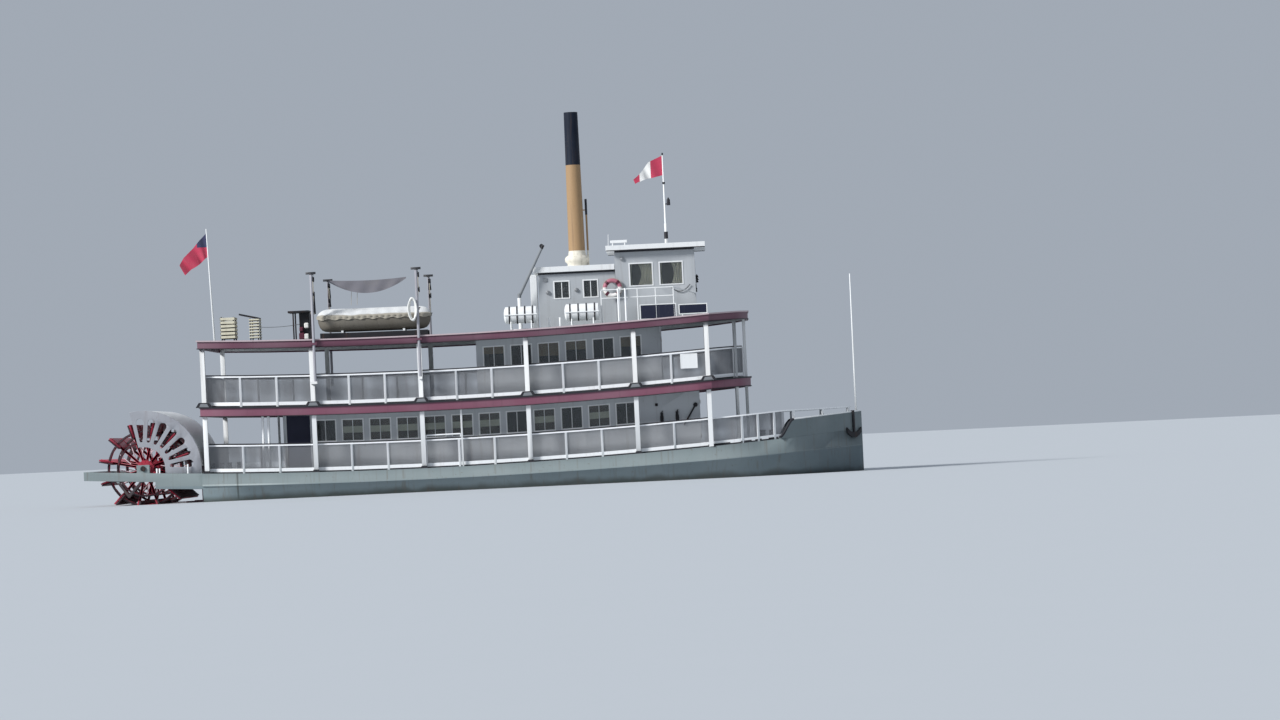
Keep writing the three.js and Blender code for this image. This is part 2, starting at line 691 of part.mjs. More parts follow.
// Smokestack: flared skirt on the texas roof, then a tapered tube open at its top; rows of radius and height
const STACK = { x: 3900, sides: 20 };
const STACK_PROFILE = [
  [0, TEXAS.roof + GAP],
  [360, TEXAS.roof + GAP],
  [360, 8000],
  [440, 8060],
  [450, 8170],
  [420, 8230],
  [320, 8300],
  [300, 8440],
  [250, 13490],
  [225, 13490],
  [225, 8500],
  [0, 8500],
];
const STEAM_PIPE = { x: 4300, r: 35, top: 10300, clip: 9920 };
function makeStack() {
  const profile = STACK_PROFILE.map(([r, z]) => new THREE.Vector2(r, z));
  const geometry = new THREE.LatheGeometry(profile, STACK.sides);
  geometry.rotateX(Math.PI / 2);
  geometry.translate(STACK.x, 0, WATERLINE);
  const { x, r, top, clip } = STEAM_PIPE;
  const pipe = rod([x, 0, TEXAS.roof + GAP], [x, 0, top], r);
  const bracket = block(STACK.x + 200, x, -15, 15, clip - 20, clip + 20);
  add("smokestack", fuse(solidOf(geometry), pipe, bracket), PAINT.buff);
}

// Staffs: where each stands and leans to, and its radius at foot and head
const MAST = { x: 7160, step: 9300, head: 11840, foot: [60, 50], pole: [38, 22] };
const JACKSTAFF = { x: 13750, head: 7160, r: [45, 22] };
const ENSIGN_STAFF = { x: -9410, headX: -9540, head: 9890, r: [40, 20], lift: 1.8 };
function makeMasts() {
  const foot = rod([MAST.x, 0, PILOT.roof + GAP], [MAST.x, 0, MAST.step], ...MAST.foot);
  const pole = rod([MAST.x, 0, MAST.step - 10], [MAST.x, 0, MAST.head], ...MAST.pole);
  add("mast", fuse(foot, pole), PAINT.white);
  const bow = height(JACKSTAFF.x + JACKSTAFF.r[0], MAIN_DECK) - WATERLINE + GAP;
  const heel = [JACKSTAFF.x, 0, bow];
  add("jackstaff", rod(heel, [JACKSTAFF.x, 0, JACKSTAFF.head], ...JACKSTAFF.r), PAINT.white);
  const { x, headX, head, r, lift } = ENSIGN_STAFF;
  const stern = height(x - r[0], ROOF_DECK) - WATERLINE + lift;
  add("ensign_staff", rod([x, 0, stern], [headX, 0, head], ...r), PAINT.white);
}

// Flags droop from their staffs as thin cloth; corners as x and height, the edge on the staff first
const FLAG_HALF = 8;
const MAST_FLAG = [
  [7132.5, 11760],
  [7132.5, 11050],
  [6766, 10970],
  [6475, 10930],
  [6130, 10775],
  [6066, 10920],
  [6420, 11255],
  [6635, 11545],
];
const ENSIGN = [
  [-9556, 9720],
  [-9533, 8870],
  [-9820, 8620],
  [-10370, 8260],
  [-10560, 8620],
  [-10070, 9180],
];
function makeFlags() {
  add("mast_flag", plate(outline(MAST_FLAG), -FLAG_HALF, FLAG_HALF), PAINT.flag);
  add("ensign", plate(outline(ENSIGN), -FLAG_HALF, FLAG_HALF), PAINT.flag);
}

// The frame behind the transom: two fore-and-aft beams, a beam at each end, struts and bearings
const LOWER_BEAM = { aft: -11390, low: 290 };
const CROSS_BEAM = { width: 200, low: 600, fore: -10080 };
const BEARING = { half: 230, low: 1000, above: 130, in: 20 };
const V_STRUT = { far: 90, near: 20 };
const V_STRUT_OUTLINE = [
  [-12790, 870],
  [-12690, 870],
  [-12350, 400],
  [-11910, 870],
  [-11810, 870],
  [-12330, 270],
  [-12370, 270],
];
function makeFantail() {
  const parts = [];
  const inOrder = (a, b) => [a, b].sort((low, high) => low - high);
  both((_, side) => {
    const y = inOrder(side * BEAM_Y.inner, side * BEAM_Y.outer);
    parts.push(plank(BEAM_AFT_X, TRANSOM_X - GAP, ...y, BEAM_BOTTOM, BEAM_TOP));
    parts.push(plank(LOWER_BEAM.aft, TRANSOM_X - GAP, ...y, LOWER_BEAM.low, BEAM_BOTTOM + 5));
    const thin = inOrder(side * (BEAM_Y.outer - V_STRUT.far), side * (BEAM_Y.outer - V_STRUT.near));
    parts.push(plate(outline(V_STRUT_OUTLINE), ...thin));
    const { half, low, above } = BEARING;
    const hubY = inOrder(side * (BEAM_Y.inner + BEARING.in), side * (BEAM_Y.outer - BEARING.in));
    parts.push(block(HUB.x - half, HUB.x + half, ...hubY, low, HUB.z + above));
  });
  const reach = BEAM_Y.outer;
  parts.push(plank(BEAM_AFT_X, BEAM_AFT_X + CROSS_BEAM.width, -reach, reach, CROSS_BEAM.low, BEAM_TOP));
  parts.push(plank(CROSS_BEAM.fore, TRANSOM_X - GAP, -reach, reach, RUDDER.head, BEAM_TOP));
  const clear = (SHAFT_R + 0.3) / Math.cos(Math.PI / SHAFT_SIDES);
  const bore = rod([HUB.x, -4000, HUB.z], [HUB.x, 4000, HUB.z], clear, clear, SHAFT_SIDES);
  add("fantail_frame", cut(fuse(parts), bore), PAINT.hull);
}

// Wheel cover: a slotted fan-shaped plate each side and a curved sheet between them
const polar = (r, degrees) => {
  const angle = THREE.MathUtils.degToRad(degrees);
  return [HUB.x + r * Math.cos(angle), HUB.z + r * Math.sin(angle)];
};

// Points on an arc about a centre, angles in degrees
function arc([cx, cz], r, from, to, steps) {
  return Array.from({ length: steps + 1 }, (_, i) => {
    const angle = THREE.MathUtils.degToRad(from + ((to - from) * i) / steps);
    return [cx + r * Math.cos(angle), cz + r * Math.sin(angle)];
  });
}

const SLOT = { count: 7, first: 92.4, step: 14.7, outer: 1655, outerR: 135, inner: 1000, innerR: 60 };
function slotOutline(k) {
  const at = SLOT.first - SLOT.step * k;
  return [
    ...arc(polar(SLOT.outer, at), SLOT.outerR, at - 90, at + 90, 5),
    ...arc(polar(SLOT.inner, at), SLOT.innerR, at + 90, at + 270, 3),
  ];
}

function makeCover() {
  const hub = [HUB.x, HUB.z];
  const foot = (r) => [HUB.x + r, height(HUB.x + r, BEAM_TOP + GAP) - WATERLINE];
  const shape = outline([
    foot(COVER_INNER_R),
    foot(COVER_R),
    ...arc(hub, COVER_R, 0, COVER_END, 14),
    ...arc(hub, COVER_INNER_R, COVER_END, 0, 8),
  ]);
  shape.holes = Array.from({ length: SLOT.count }, (_, k) => outline(slotOutline(k)));
  const inner = BEAM_Y.inner + 10;
  both((word, side) => {
    const y = [side * inner, side * (inner + COVER_THICK)].sort((a, b) => a - b);
    add("wheel_cover_" + word, plate(shape, ...y), PAINT.white);
  });
  const sheet = outline([
    ...arc(hub, COVER_R, 0, COVER_END, 14),
    ...arc(hub, COVER_R - COVER_THICK, COVER_END, 0, 14),
  ]);
  add("wheel_cover_shell", plate(sheet, -inner + GAP, inner - GAP), PAINT.white);
}

// Paddle wheel: three spiders of arms and rims, joined by the floats
function ringPlate(outer, inner, y0, y1, steps) {
  const circle = (r) => arc([HUB.x, HUB.z], r, 0, 360, steps).slice(1);
  const shape = outline(circle(outer));
  shape.holes = [outline(circle(inner))];
  return plate(shape, y0, y1);
}

function radialBar(r0, r1, width, y0, y1, degrees) {
  const geometry = new THREE.BoxGeometry(r1 - r0, y1 - y0, width);
  geometry.translate((r0 + r1) / 2, (y0 + y1) / 2, 0);
  geometry.rotateY(-THREE.MathUtils.degToRad(degrees));
  geometry.translate(HUB.x, 0, HUB.z + WATERLINE);
  return solidOf(geometry);
}

const SPIDER = { y: [-2500, 0, 2500], rim: 80, innerRim: 70, half: 30, sides: 24 };
const ARM = { foot: 120, short: 20, width: 90, half: 35, first: 17 };
const HUB_DRUM = { r: 260, half: 90, sides: 16 };
const FLOAT = { depth: 480, thick: 50 };
function makeWheel() {
  const turns = Array.from({ length: PADDLES }, (_, k) => ARM.first + (360 * k) / PADDLES);
  const spiders = SPIDER.y.flatMap((y) => {
    const rim = [y - SPIDER.half, y + SPIDER.half, SPIDER.sides];
    const ends = [-1, 1].map((way) => [HUB.x, y + way * HUB_DRUM.half, HUB.z]);
    return [
      ringPlate(RIM_R, RIM_R - SPIDER.rim, ...rim),
      ringPlate(INNER_RIM_R, INNER_RIM_R - SPIDER.innerRim, ...rim),
      rod(...ends, HUB_DRUM.r, HUB_DRUM.r, HUB_DRUM.sides),
      ...turns.map((turn) =>
        radialBar(ARM.foot, TIP_R - ARM.short, ARM.width, y - ARM.half, y + ARM.half, turn),
      ),
    ];
  });
  const floats = turns.map((turn) =>
    radialBar(TIP_R - FLOAT.depth, TIP_R, FLOAT.thick, -WHEEL_HALF, WHEEL_HALF, turn),
  );
  const seat = (SHAFT_R + GAP) / Math.cos(Math.PI / SHAFT_SIDES);
  const bore = rod([HUB.x, -4000, HUB.z], [HUB.x, 4000, HUB.z], seat, seat, SHAFT_SIDES);
  add("paddle_wheel", cut(fuse(spiders, floats), bore), PAINT.crimson);
  const shaft = rod(
    [HUB.x, -BEAM_Y.outer - 30, HUB.z],
    [HUB.x, BEAM_Y.outer + 30, HUB.z],
    SHAFT_R,
    SHAFT_R,
    SHAFT_SIDES,
  );
  add("wheel_shaft", shaft, PAINT.black);
}

function makeRudders() {
  both((word, side) => {
    const y = side * RUDDER.y;
    const { x, aft, fore, half, low, top } = RUDDER;
    const blade = block(x - aft, x + fore, y - half, y + half, low, top);
    const head = height(RUDDER.x + RUDDER.stock, RUDDER.head - GAP) - WATERLINE;
    const stock = rod([RUDDER.x, y, RUDDER.low + 100], [RUDDER.x, y, head], RUDDER.stock);
    add("rudder_" + word, fuse(blade, stock), PAINT.maroon);
  });
}

function makeDavits() {
  for (const [i, word] of ["aft", "fore"].entries())
    both((hand, side) => {
      const x = DAVIT.x[i];
      const y = side * DAVIT.y;
      const inner = y - side * DAVIT.arm;
      const arm = block(x - 35, x + 35, Math.min(y, inner), Math.max(y, inner), DAVIT.top - 60, DAVIT.top);
      const cap = block(x - 175, x + 175, y - 40, y + 40, DAVIT.top - 50, DAVIT.top + 30);
      const pole = rod([x, y, DAVIT.heel], [x, y, DAVIT.top], DAVIT.r, DAVIT.r, DAVIT.sides);
      add("davit_" + word + "_" + hand, fuse(pole, arm, cap), PAINT.white);
    });
}

const BOAT = { x0: -5400, x1: -1350, y: -2700, half: 620, keel: 5850, rise: 200, rim: 6330, rows: 9 };
const CHOCK = { x: [-4500, -2300], half: 40, reach: 450, top: 5950 };
const COVER = { edge: 120, ridge: 330, ridgeHalf: 0.3 };

// Places along the lifeboat: x, half width there, and -1 to 1 from end to end
const boatRows = () =>
  Array.from({ length: BOAT.rows }, (_, i) => {
    const t = (2 * i) / (BOAT.rows - 1) - 1;
    const x = (BOAT.x0 + BOAT.x1) / 2 + (t * (BOAT.x1 - BOAT.x0)) / 2;
    return [x, BOAT.half * Math.sqrt(Math.max(0.02, 1 - Math.abs(t) ** 2.6)), t];
  });

function makeLifeboat() {
  const rings = boatRows().map(([x, half, t]) => {
    const low = WATERLINE + BOAT.keel + BOAT.rise * t ** 4 + sheer(x);
    const rim = WATERLINE + BOAT.rim + sheer(x);
    return [
      [x, BOAT.y - half, rim],
      [x, BOAT.y - half * 0.8, (rim + low) / 2 - 40],
      [x, BOAT.y - half * 0.3, low],
      [x, BOAT.y + half * 0.3, low],
      [x, BOAT.y + half * 0.8, (rim + low) / 2 - 40],
      [x, BOAT.y + half, rim],
    ];
  });
  const chocks = CHOCK.x.map((x) =>
    plank(
      x - CHOCK.half,
      x + CHOCK.half,
      BOAT.y - CHOCK.reach,
      BOAT.y + CHOCK.reach,
      ROOF_DECK + GAP,
      CHOCK.top,
    ),
  );
  add("lifeboat", fuse(loft(rings), chocks), PAINT.olive);
  const cover = boatRows().map(([x, half]) => {
    const low = WATERLINE + BOAT.rim + sheer(x) + GAP;
    return [
      [x, BOAT.y - half, low],
      [x, BOAT.y + half, low],
      [x, BOAT.y + half, low + COVER.edge],
      [x, BOAT.y + half * COVER.ridgeHalf, low + COVER.ridge],
      [x, BOAT.y - half * COVER.ridgeHalf, low + COVER.ridge],
      [x, BOAT.y - half, low + COVER.edge],
    ];
  });
  add("lifeboat_cover", loft(cover), PAINT.canvas);
}

// A grey canvas slung between the arms of the port davits, its fore end on a lashing
const AWNING = { aft: DAVIT.x[0] + 35, fore: -2560, y: 3190, top: 7940, thick: 60, sag: 60, drop: 420 };
const AWNING_BENDS = [-5150, -4700, -3300, -2800];
function makeAwning() {
  const xs = stations(AWNING.aft + GAP, AWNING.fore, AWNING_BENDS);
  const rings = xs.map((x) => {
    const t = (2 * (x - AWNING.aft)) / (AWNING.fore - AWNING.aft) - 1;
    const high = WATERLINE + AWNING.top - AWNING.sag * (1 - t * t);
    const low = high - 50 - AWNING.drop * (1 - t * t);
    return [
      [x, AWNING.y, low],
      [x, AWNING.y + AWNING.thick, low],
      [x, AWNING.y + AWNING.thick, high],
      [x, AWNING.y, high],
    ];
  });
  const middle = AWNING.y + AWNING.thick / 2;
  const level = AWNING.top - 25;
  const lashing = rod([AWNING.fore - 20, middle, level], [DAVIT.x[1] - 35 - GAP, middle, level], 15, 15, 8);
  add("awning", fuse(loft(rings), lashing), PAINT.greyCanvas);
}

// Life rafts in their canisters on cradles
const RAFT_X = { aft: [1250, 2480], fore: [3420, 4700] };
const RAFT = { y: -2500, z: 6150, r: 320, sides: 12 };
const CRADLE = { in: 250, half: 40, reach: 250, top: 5950 };
function makeRafts() {
  for (const [word, [x0, x1]] of Object.entries(RAFT_X)) {
    const barrel = rod([x0, RAFT.y, RAFT.z], [x1, RAFT.y, RAFT.z], RAFT.r, RAFT.r, RAFT.sides);
    const cradle = [x0 + CRADLE.in, x1 - CRADLE.in].map((x) =>
      plank(
        x - CRADLE.half,
        x + CRADLE.half,
        RAFT.y - CRADLE.reach,
        RAFT.y + CRADLE.reach,
        ROOF_DECK + GAP,
        CRADLE.top,
      ),
    );
    add("life_raft_" + word, fuse(barrel, cradle), PAINT.white);
  }
}

// A small crane: a stand with a foot plate, and a boom that slews on it
const CRANE = { x: 1800, y: -1750, top: 6780, r: 70, sides: 12 };
const CRANE_FOOT = { x: 250, y: 200, thick: 60 };
const BOOM = { collar: 160, heel: 60, reach: 940, head: 8640, r: [60, 45] };
function makeCrane() {
  const { x, y, top, r, sides } = CRANE;
  const plateTop = ROOF_DECK + CRANE_FOOT.thick;
  const foot = fuse(
    plank(x - CRANE_FOOT.x, x + CRANE_FOOT.x, y - CRANE_FOOT.y, y + CRANE_FOOT.y, ROOF_DECK + GAP, plateTop),
    rod([x, y, plateTop - 10], [x, y, top], r, r, sides),
  );
  add("crane_stand", foot, PAINT.white);
  const boom = fuse(
    rod([x, y, top + GAP], [x, y, top + BOOM.collar], r, r, sides),
    rod([x, y, top + BOOM.heel], [x + BOOM.reach, y, BOOM.head], ...BOOM.r),
  );
  add("crane_boom", boom, PAINT.steel);
}

makeHull();
makeBulwark();
makeAnchor();
makeDeck("upper_deck", UPPER_DECK);
makeDeck("roof_deck", ROOF_DECK);
makeFascia("upper_fascia", UPPER_DECK, EDGE_DEPTH.upper);
makeFascia("roof_fascia", ROOF_DECK, EDGE_DEPTH.roof, davitCollars(), davitBores());
both((word, side) => {
  makePosts("main_posts_" + word, side, MAIN_DECK, UPPER_DECK);
  makePosts("upper_posts_" + word, side, UPPER_DECK, ROOF_DECK, davitShelves(side));
});
makeMainRails();
makeUpperRails();
makeCabin({
  name: "main_cabin",
  x0: -6800,
  x1: 8100,
  half: 2600,
  floor: MAIN_DECK,
  ceiling: UPPER_DECK - DECK_THICK,
  windows: rowOfWindows(-5310, 12),
});
makeCabin({
  name: "upper_cabin",
  x0: 200,
  x1: 6800,
  half: 2600,
  floor: UPPER_DECK,
  ceiling: ROOF_DECK - DECK_THICK,
  windows: rowOfWindows(830, 6),
});
makeTexas();
makePilothouse();
makeStack();
makeMasts();
makeFlags();
makeFantail();
makeCover();
makeWheel();
makeRudders();
makeDavits();
makeLifeboat();
makeAwning();
makeRafts();
makeCrane();

export default boat;
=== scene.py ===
# %% [markdown]
# # A sternwheel paddle boat
#
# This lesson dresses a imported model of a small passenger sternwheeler. The rigid pieces come from the
# frame at their real size, in metres, and the cells below give them their paint, glass, wire, cloth and
# rope. Each step says first what the piece is on the real boat, then how it can be made, and why one way
# was chosen.

# %% Load the boat
import json
import math
import bpy
from mathutils import Matrix, Vector

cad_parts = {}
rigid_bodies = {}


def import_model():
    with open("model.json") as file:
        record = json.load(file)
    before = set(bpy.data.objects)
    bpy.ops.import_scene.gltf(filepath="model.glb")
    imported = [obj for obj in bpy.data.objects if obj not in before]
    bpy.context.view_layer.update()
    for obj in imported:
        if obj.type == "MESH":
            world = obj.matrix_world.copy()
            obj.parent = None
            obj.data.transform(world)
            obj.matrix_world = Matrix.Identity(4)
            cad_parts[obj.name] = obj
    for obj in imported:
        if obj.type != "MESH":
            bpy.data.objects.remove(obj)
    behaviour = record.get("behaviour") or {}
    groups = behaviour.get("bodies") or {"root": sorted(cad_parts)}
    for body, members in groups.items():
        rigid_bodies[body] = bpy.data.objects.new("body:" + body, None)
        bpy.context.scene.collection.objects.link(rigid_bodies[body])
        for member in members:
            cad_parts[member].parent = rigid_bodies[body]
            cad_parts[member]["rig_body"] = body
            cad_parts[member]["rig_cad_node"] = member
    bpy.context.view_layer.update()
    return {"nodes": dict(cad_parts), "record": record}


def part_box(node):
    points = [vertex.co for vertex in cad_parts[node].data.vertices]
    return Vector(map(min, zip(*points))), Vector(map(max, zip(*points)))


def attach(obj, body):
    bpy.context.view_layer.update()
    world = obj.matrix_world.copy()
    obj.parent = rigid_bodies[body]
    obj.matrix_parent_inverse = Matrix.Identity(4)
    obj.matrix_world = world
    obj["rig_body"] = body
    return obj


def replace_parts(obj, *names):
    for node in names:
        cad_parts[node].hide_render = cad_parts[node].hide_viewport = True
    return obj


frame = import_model()

# %% [markdown]
# ## Heights and the sheer
#
# A boat's decks aren't level: they rise towards both ends in a curve that is called the sheer. This
# boat's decks follow one parabola, built as straight runs two metres long. Every height below is the
# height at the low point of that curve, and is read from the frame where a node shows it.

# %% Name the sizes
WATER = 0.85
SHEER_LOW = -1.8
SHEER_RATE = 0.0028
STATION = 2.0
DECK_THICK = 0.1
MAIN_DECK = 1.69
UPPER_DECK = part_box("upper_deck")[0].z + DECK_THICK
ROOF_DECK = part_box("roof_deck")[0].z + DECK_THICK
HALF_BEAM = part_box("upper_fascia")[1].y
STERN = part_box("upper_fascia")[0].x
POSTS = [-9.515, -5.63, -1.785, 2.005, 5.845, 8.44]
PLAN = [(8.55, 3.5), (9.6, 2.2), (9.97, 1.0)]
HUB = Vector((-11.81, 0, 2.14))
SIDES = (-1, 1)


def sheer(x):
    low = math.floor(x / STATION) * STATION
    rise = [SHEER_RATE * (at - SHEER_LOW) ** 2 for at in (low, low + STATION)]
    return rise[0] + (rise[1] - rise[0]) * (x - low) / STATION


def on_main(x, lift=0.0):
    return MAIN_DECK + sheer(x) + lift


def on_roof(x, lift=0.0):
    return ROOF_DECK + sheer(x) + lift


print("decks at the low point:", round(UPPER_DECK, 3), round(ROOF_DECK, 3))

# %% [markdown]
# ## The camera
#
# The picture was taken with a long lens from the river bank, a little forward of the middle of the boat
# and near the water, and it is tilted: the boat climbs to the right by under three degrees. The camera is
# turned until the direction square to the boat lands on the same point of the image, so its three axes
# are worked out from that.

# %% Place the camera
FRAME_WIDTH, FRAME_HEIGHT = 1280, 720
FOCAL_PIXELS = 4400
TILT = math.radians(2.7)
SQUARE_ON = (700, 435)
SENSOR = 36
CAMERA_PLACE = (8.05, -159.7, WATER + 1.56)
camera_data = bpy.data.cameras.new("camera")
camera_data.sensor_width = SENSOR
camera_data.lens = SENSOR * FOCAL_PIXELS / FRAME_WIDTH
camera_data.clip_end = 2000
camera = bpy.data.objects.new("camera", camera_data)
bpy.context.scene.collection.objects.link(camera)
bpy.context.scene.camera = camera

level = Matrix(((math.cos(TILT), math.sin(TILT), 0), (0, 0, 1), (-math.sin(TILT), math.cos(TILT), 0)))
aim = Vector((SQUARE_ON[0] - FRAME_WIDTH / 2, FRAME_HEIGHT / 2 - SQUARE_ON[1], FOCAL_PIXELS)).normalized()
turn = aim.rotation_difference(Vector((0, 0, 1))).to_matrix()
right, up, ahead = (level @ turn).col
placed = Matrix((right, up, -ahead)).transposed().to_4x4()
placed.translation = CAMERA_PLACE
camera.matrix_world = placed


# %% [markdown]
# ## Floor and light
#
# The boat is shown afloat, so the floor lies at its waterline and hides the hull below it. One large soft
# lamp stands aft on the camera's left, as a bright cloudy sky would light it: the wheel and the posts
# catch it, and the bow turns away from it. The pale surroundings fill the rest. A plain view transform
# keeps the paints' own values.

# %% Lay the floor and set the light
bpy.ops.object.select_all(action="DESELECT")
FLOOR_REACH = 900
bpy.ops.mesh.primitive_circle_add(vertices=64, radius=FLOOR_REACH, fill_type="NGON", location=(0, 0, WATER))
floor = bpy.context.active_object
floor.name = "floor"

LAMP_ANGLE = math.radians(14)
LAMP_STRENGTH = 4.0
LAMP_FROM = Vector((-1.3, -0.78, 0.95))
SKY, SKY_STRENGTH = (0.78, 0.87, 1.0, 1), 0.46
lamp_data = bpy.data.lights.new("soft_sun", "SUN")
lamp_data.energy = LAMP_STRENGTH
lamp_data.angle = LAMP_ANGLE
lamp = bpy.data.objects.new("soft_sun", lamp_data)
lamp.rotation_euler = LAMP_FROM.to_track_quat("Z", "Y").to_euler()
bpy.context.scene.collection.objects.link(lamp)

world = bpy.data.worlds.new("studio")
bpy.context.scene.world = world
world.use_nodes = True
world.node_tree.nodes["Background"].inputs["Color"].default_value = SKY
world.node_tree.nodes["Background"].inputs["Strength"].default_value = SKY_STRENGTH
bpy.context.scene.view_settings.view_transform = "Standard"
print("the floor lies at", WATER, "m and the lamp looks from", tuple(LAMP_FROM))

# %% [markdown]
# ## Hand tools
#
# These short helpers do what a modeller does by hand: add a primitive at its size and place, round its
# edges, repeat it, join the copies. The sheer is bent in last, by a lattice with a row of points at every
# station, so a long board is drawn straight and still lies on its deck.

# %% Select and edit
def pick(*objects):
    bpy.ops.object.select_all(action="DESELECT")
    for obj in objects:
        obj.select_set(True)
    bpy.context.view_layer.objects.active = objects[0]


def edit(obj):
    pick(obj)
    bpy.ops.object.mode_set(mode="EDIT")
    bpy.ops.mesh.select_all(action="SELECT")


def leave():
    bpy.ops.object.mode_set(mode="OBJECT")


def edit_faces(obj, axis):
    """Opens a mesh with just the faces selected that look along an axis, either way."""
    edit(obj)
    bpy.ops.mesh.select_mode(type="FACE")
    bpy.ops.mesh.select_all(action="DESELECT")
    leave()
    for face in obj.data.polygons:
        face.select = abs(face.normal[axis]) > 0.9
    bpy.ops.object.mode_set(mode="EDIT")


def faced_out(obj):
    edit(obj)
    bpy.ops.mesh.normals_make_consistent(inside=False)
    leave()
    return obj


def apply(obj, kind, **settings):
    """Adds a modifier, sets it up and applies it."""
    pick(obj)
    modifier = obj.modifiers.new(kind.lower(), kind)
    for name, value in settings.items():
        setattr(modifier, name, value)
    bpy.ops.object.modifier_apply(modifier=modifier.name)
    return obj


def eased(obj, width, segments=1, degrees=50):
    """Bevels the edges that are sharper than an angle."""
    limit = math.radians(degrees)
    return apply(obj, "BEVEL", width=width, segments=segments, limit_method="ANGLE", angle_limit=limit)


# %% Make blocks, rods and pipes
def block(low, high, bevel=0.008):
    """A squared timber or plate between two corners, its edges eased."""
    low, high = Vector(low), Vector(high)
    bpy.ops.mesh.primitive_cube_add(size=1, location=(low + high) / 2)
    obj = bpy.context.active_object
    obj.scale = high - low
    bpy.ops.object.transform_apply()
    edit(obj)
    bpy.ops.mesh.bevel(offset=min(bevel, min(high - low) * 0.3), segments=1, affect="EDGES")
    leave()
    return obj


def post(x, y, low, high, half, bevel=0.004):
    """An upright block about a spot in plan; half is its half width along X and along Y."""
    return block((x - half[0], y - half[1], low), (x + half[0], y + half[1], high), bevel)


def rod(start, end, radius, tip=None, sides=12, bevel=0.0):
    """A round bar from one point to another, tapered where a second radius is given."""
    start, end = Vector(start), Vector(end)
    run = end - start
    bpy.ops.mesh.primitive_cone_add(
        vertices=sides,
        radius1=radius,
        radius2=radius if tip is None else tip,
        depth=run.length,
        location=(start + end) / 2,
        rotation=run.to_track_quat("Z", "Y").to_euler(),
    )
    obj = bpy.context.active_object
    bpy.ops.object.transform_apply()
    return eased(obj, bevel, 2) if bevel else obj


def upright(x, y, low, high, radius, tip=None, sides=12, bevel=0.0):
    return rod((x, y, low), (x, y, high), radius, tip, sides, bevel)


def drum(radius, depth, sides, place=(0, 0, 0), rotation=(0, 0, 0)):
    """A cylinder with flat ends."""
    bpy.ops.mesh.primitive_cylinder_add(
        vertices=sides, radius=radius, depth=depth, location=place, rotation=rotation
    )
    bpy.ops.object.transform_apply()
    return bpy.context.active_object


def drawn(points, kind="POLY", closed=False):
    """A curve through points, not yet a mesh."""
    data = bpy.data.curves.new("path", "CURVE")
    data.dimensions = "3D"
    spline = data.splines.new(kind)
    spline.points.add(len(points) - 1)
    for point, place in zip(spline.points, points):
        point.co = (*place, 1)
    spline.use_cyclic_u = closed
    return data, spline


def meshed(data):
    obj = bpy.data.objects.new("path", data)
    bpy.context.scene.collection.objects.link(obj)
    pick(obj)
    bpy.ops.object.convert(target="MESH")
    return bpy.context.active_object


def pipe(points, radius, smooth=True, closed=False, sides=3):
    """A round bar or rope along a path, drawn as a curve with a round section and made a mesh."""
    data, spline = drawn(points, "NURBS" if smooth else "POLY", closed)
    data.bevel_depth = radius
    data.bevel_resolution = sides
    data.use_fill_caps = not closed
    spline.use_endpoint_u = True
    spline.order_u = 3
    spline.resolution_u = 4
    return meshed(data)


def strip(points, low, high, thick, closed=False):
    """An upright board along a path in plan, as high as low to high, thickened to one side."""
    data, _ = drawn([(x, y, (low + high) / 2) for x, y in points], closed=closed)
    data.extrude = (high - low) / 2
    board = apply(meshed(data), "SOLIDIFY", thickness=thick, offset=1, use_even_offset=True)
    return faced_out(board)


def draped(columns, rows, thick, place, offset=0):
    """A cloth: a grid put where place says, which is given shares from 0 to 1 across and down it."""
    bpy.ops.mesh.primitive_grid_add(x_subdivisions=columns, y_subdivisions=rows, size=1)
    obj = bpy.context.active_object
    for v in obj.data.vertices:
        v.co = place(v.co.x + 0.5, 0.5 - v.co.y)
    return apply(obj, "SOLIDIFY", thickness=thick, offset=offset)


def shares(count):
    """From 0 to 1 in equal steps."""
    return [k / count for k in range(count + 1)]


def angles(count, first=0.0):
    """The angles of a number of points round a circle."""
    return [first + k * math.tau / count for k in range(count)]


# %% Join, repeat and copy
def join(*parts):
    pick(*parts)
    if len(parts) > 1:
        bpy.ops.object.join()
    return bpy.context.active_object


def row(obj, step, count):
    """Repeats a piece along a step."""
    settings = {"use_relative_offset": False, "use_constant_offset": True, "constant_offset_displace": step}
    return apply(obj, "ARRAY", count=count, **settings)


def twin(obj):
    """A second copy, with its own mesh."""
    copy = obj.copy()
    copy.data = obj.data.copy()
    bpy.context.scene.collection.objects.link(copy)
    return copy


def moved(obj, place, angle=0.0):
    obj.data.transform(Matrix.Translation(place) @ Matrix.Rotation(angle, 4, "Z"))
    return obj


def mirrored(obj):
    """A starboard piece with the same piece to port."""
    return apply(obj, "MIRROR", use_axis=(False, True, False), use_mirror_merge=False)


# %% Bend a straight piece to the sheer
ROWS = 15
bpy.ops.object.add(type="LATTICE", location=(0, 0, 0))
lattice = bpy.context.active_object
lattice.name = "sheer_lattice"
lattice.scale = ((ROWS - 1) * STATION, 20, 20)
for axis, count in (("u", ROWS), ("v", 2), ("w", 2)):
    setattr(lattice.data, "points_" + axis, count)
    setattr(lattice.data, "interpolation_type_" + axis, "KEY_LINEAR")
for point in lattice.data.points:
    point.co_deform.z += sheer(point.co.x * lattice.scale.x) / lattice.scale.z
bpy.context.view_layer.update()
print("a lattice of", ROWS, "rows bends the boards")


def sheered(obj):
    """Cuts a piece at the stations and lifts it by the sheer."""
    xs = [v.co.x for v in obj.data.vertices]
    first, last = math.ceil(min(xs) / STATION), math.floor(max(xs) / STATION)
    edit(obj)
    for k in range(first, last + 1):
        bpy.ops.mesh.select_all(action="SELECT")
        bpy.ops.mesh.bisect(plane_co=(k * STATION, 0, 0), plane_no=(1, 0, 0))
    leave()
    return apply(obj, "LATTICE", object=lattice)


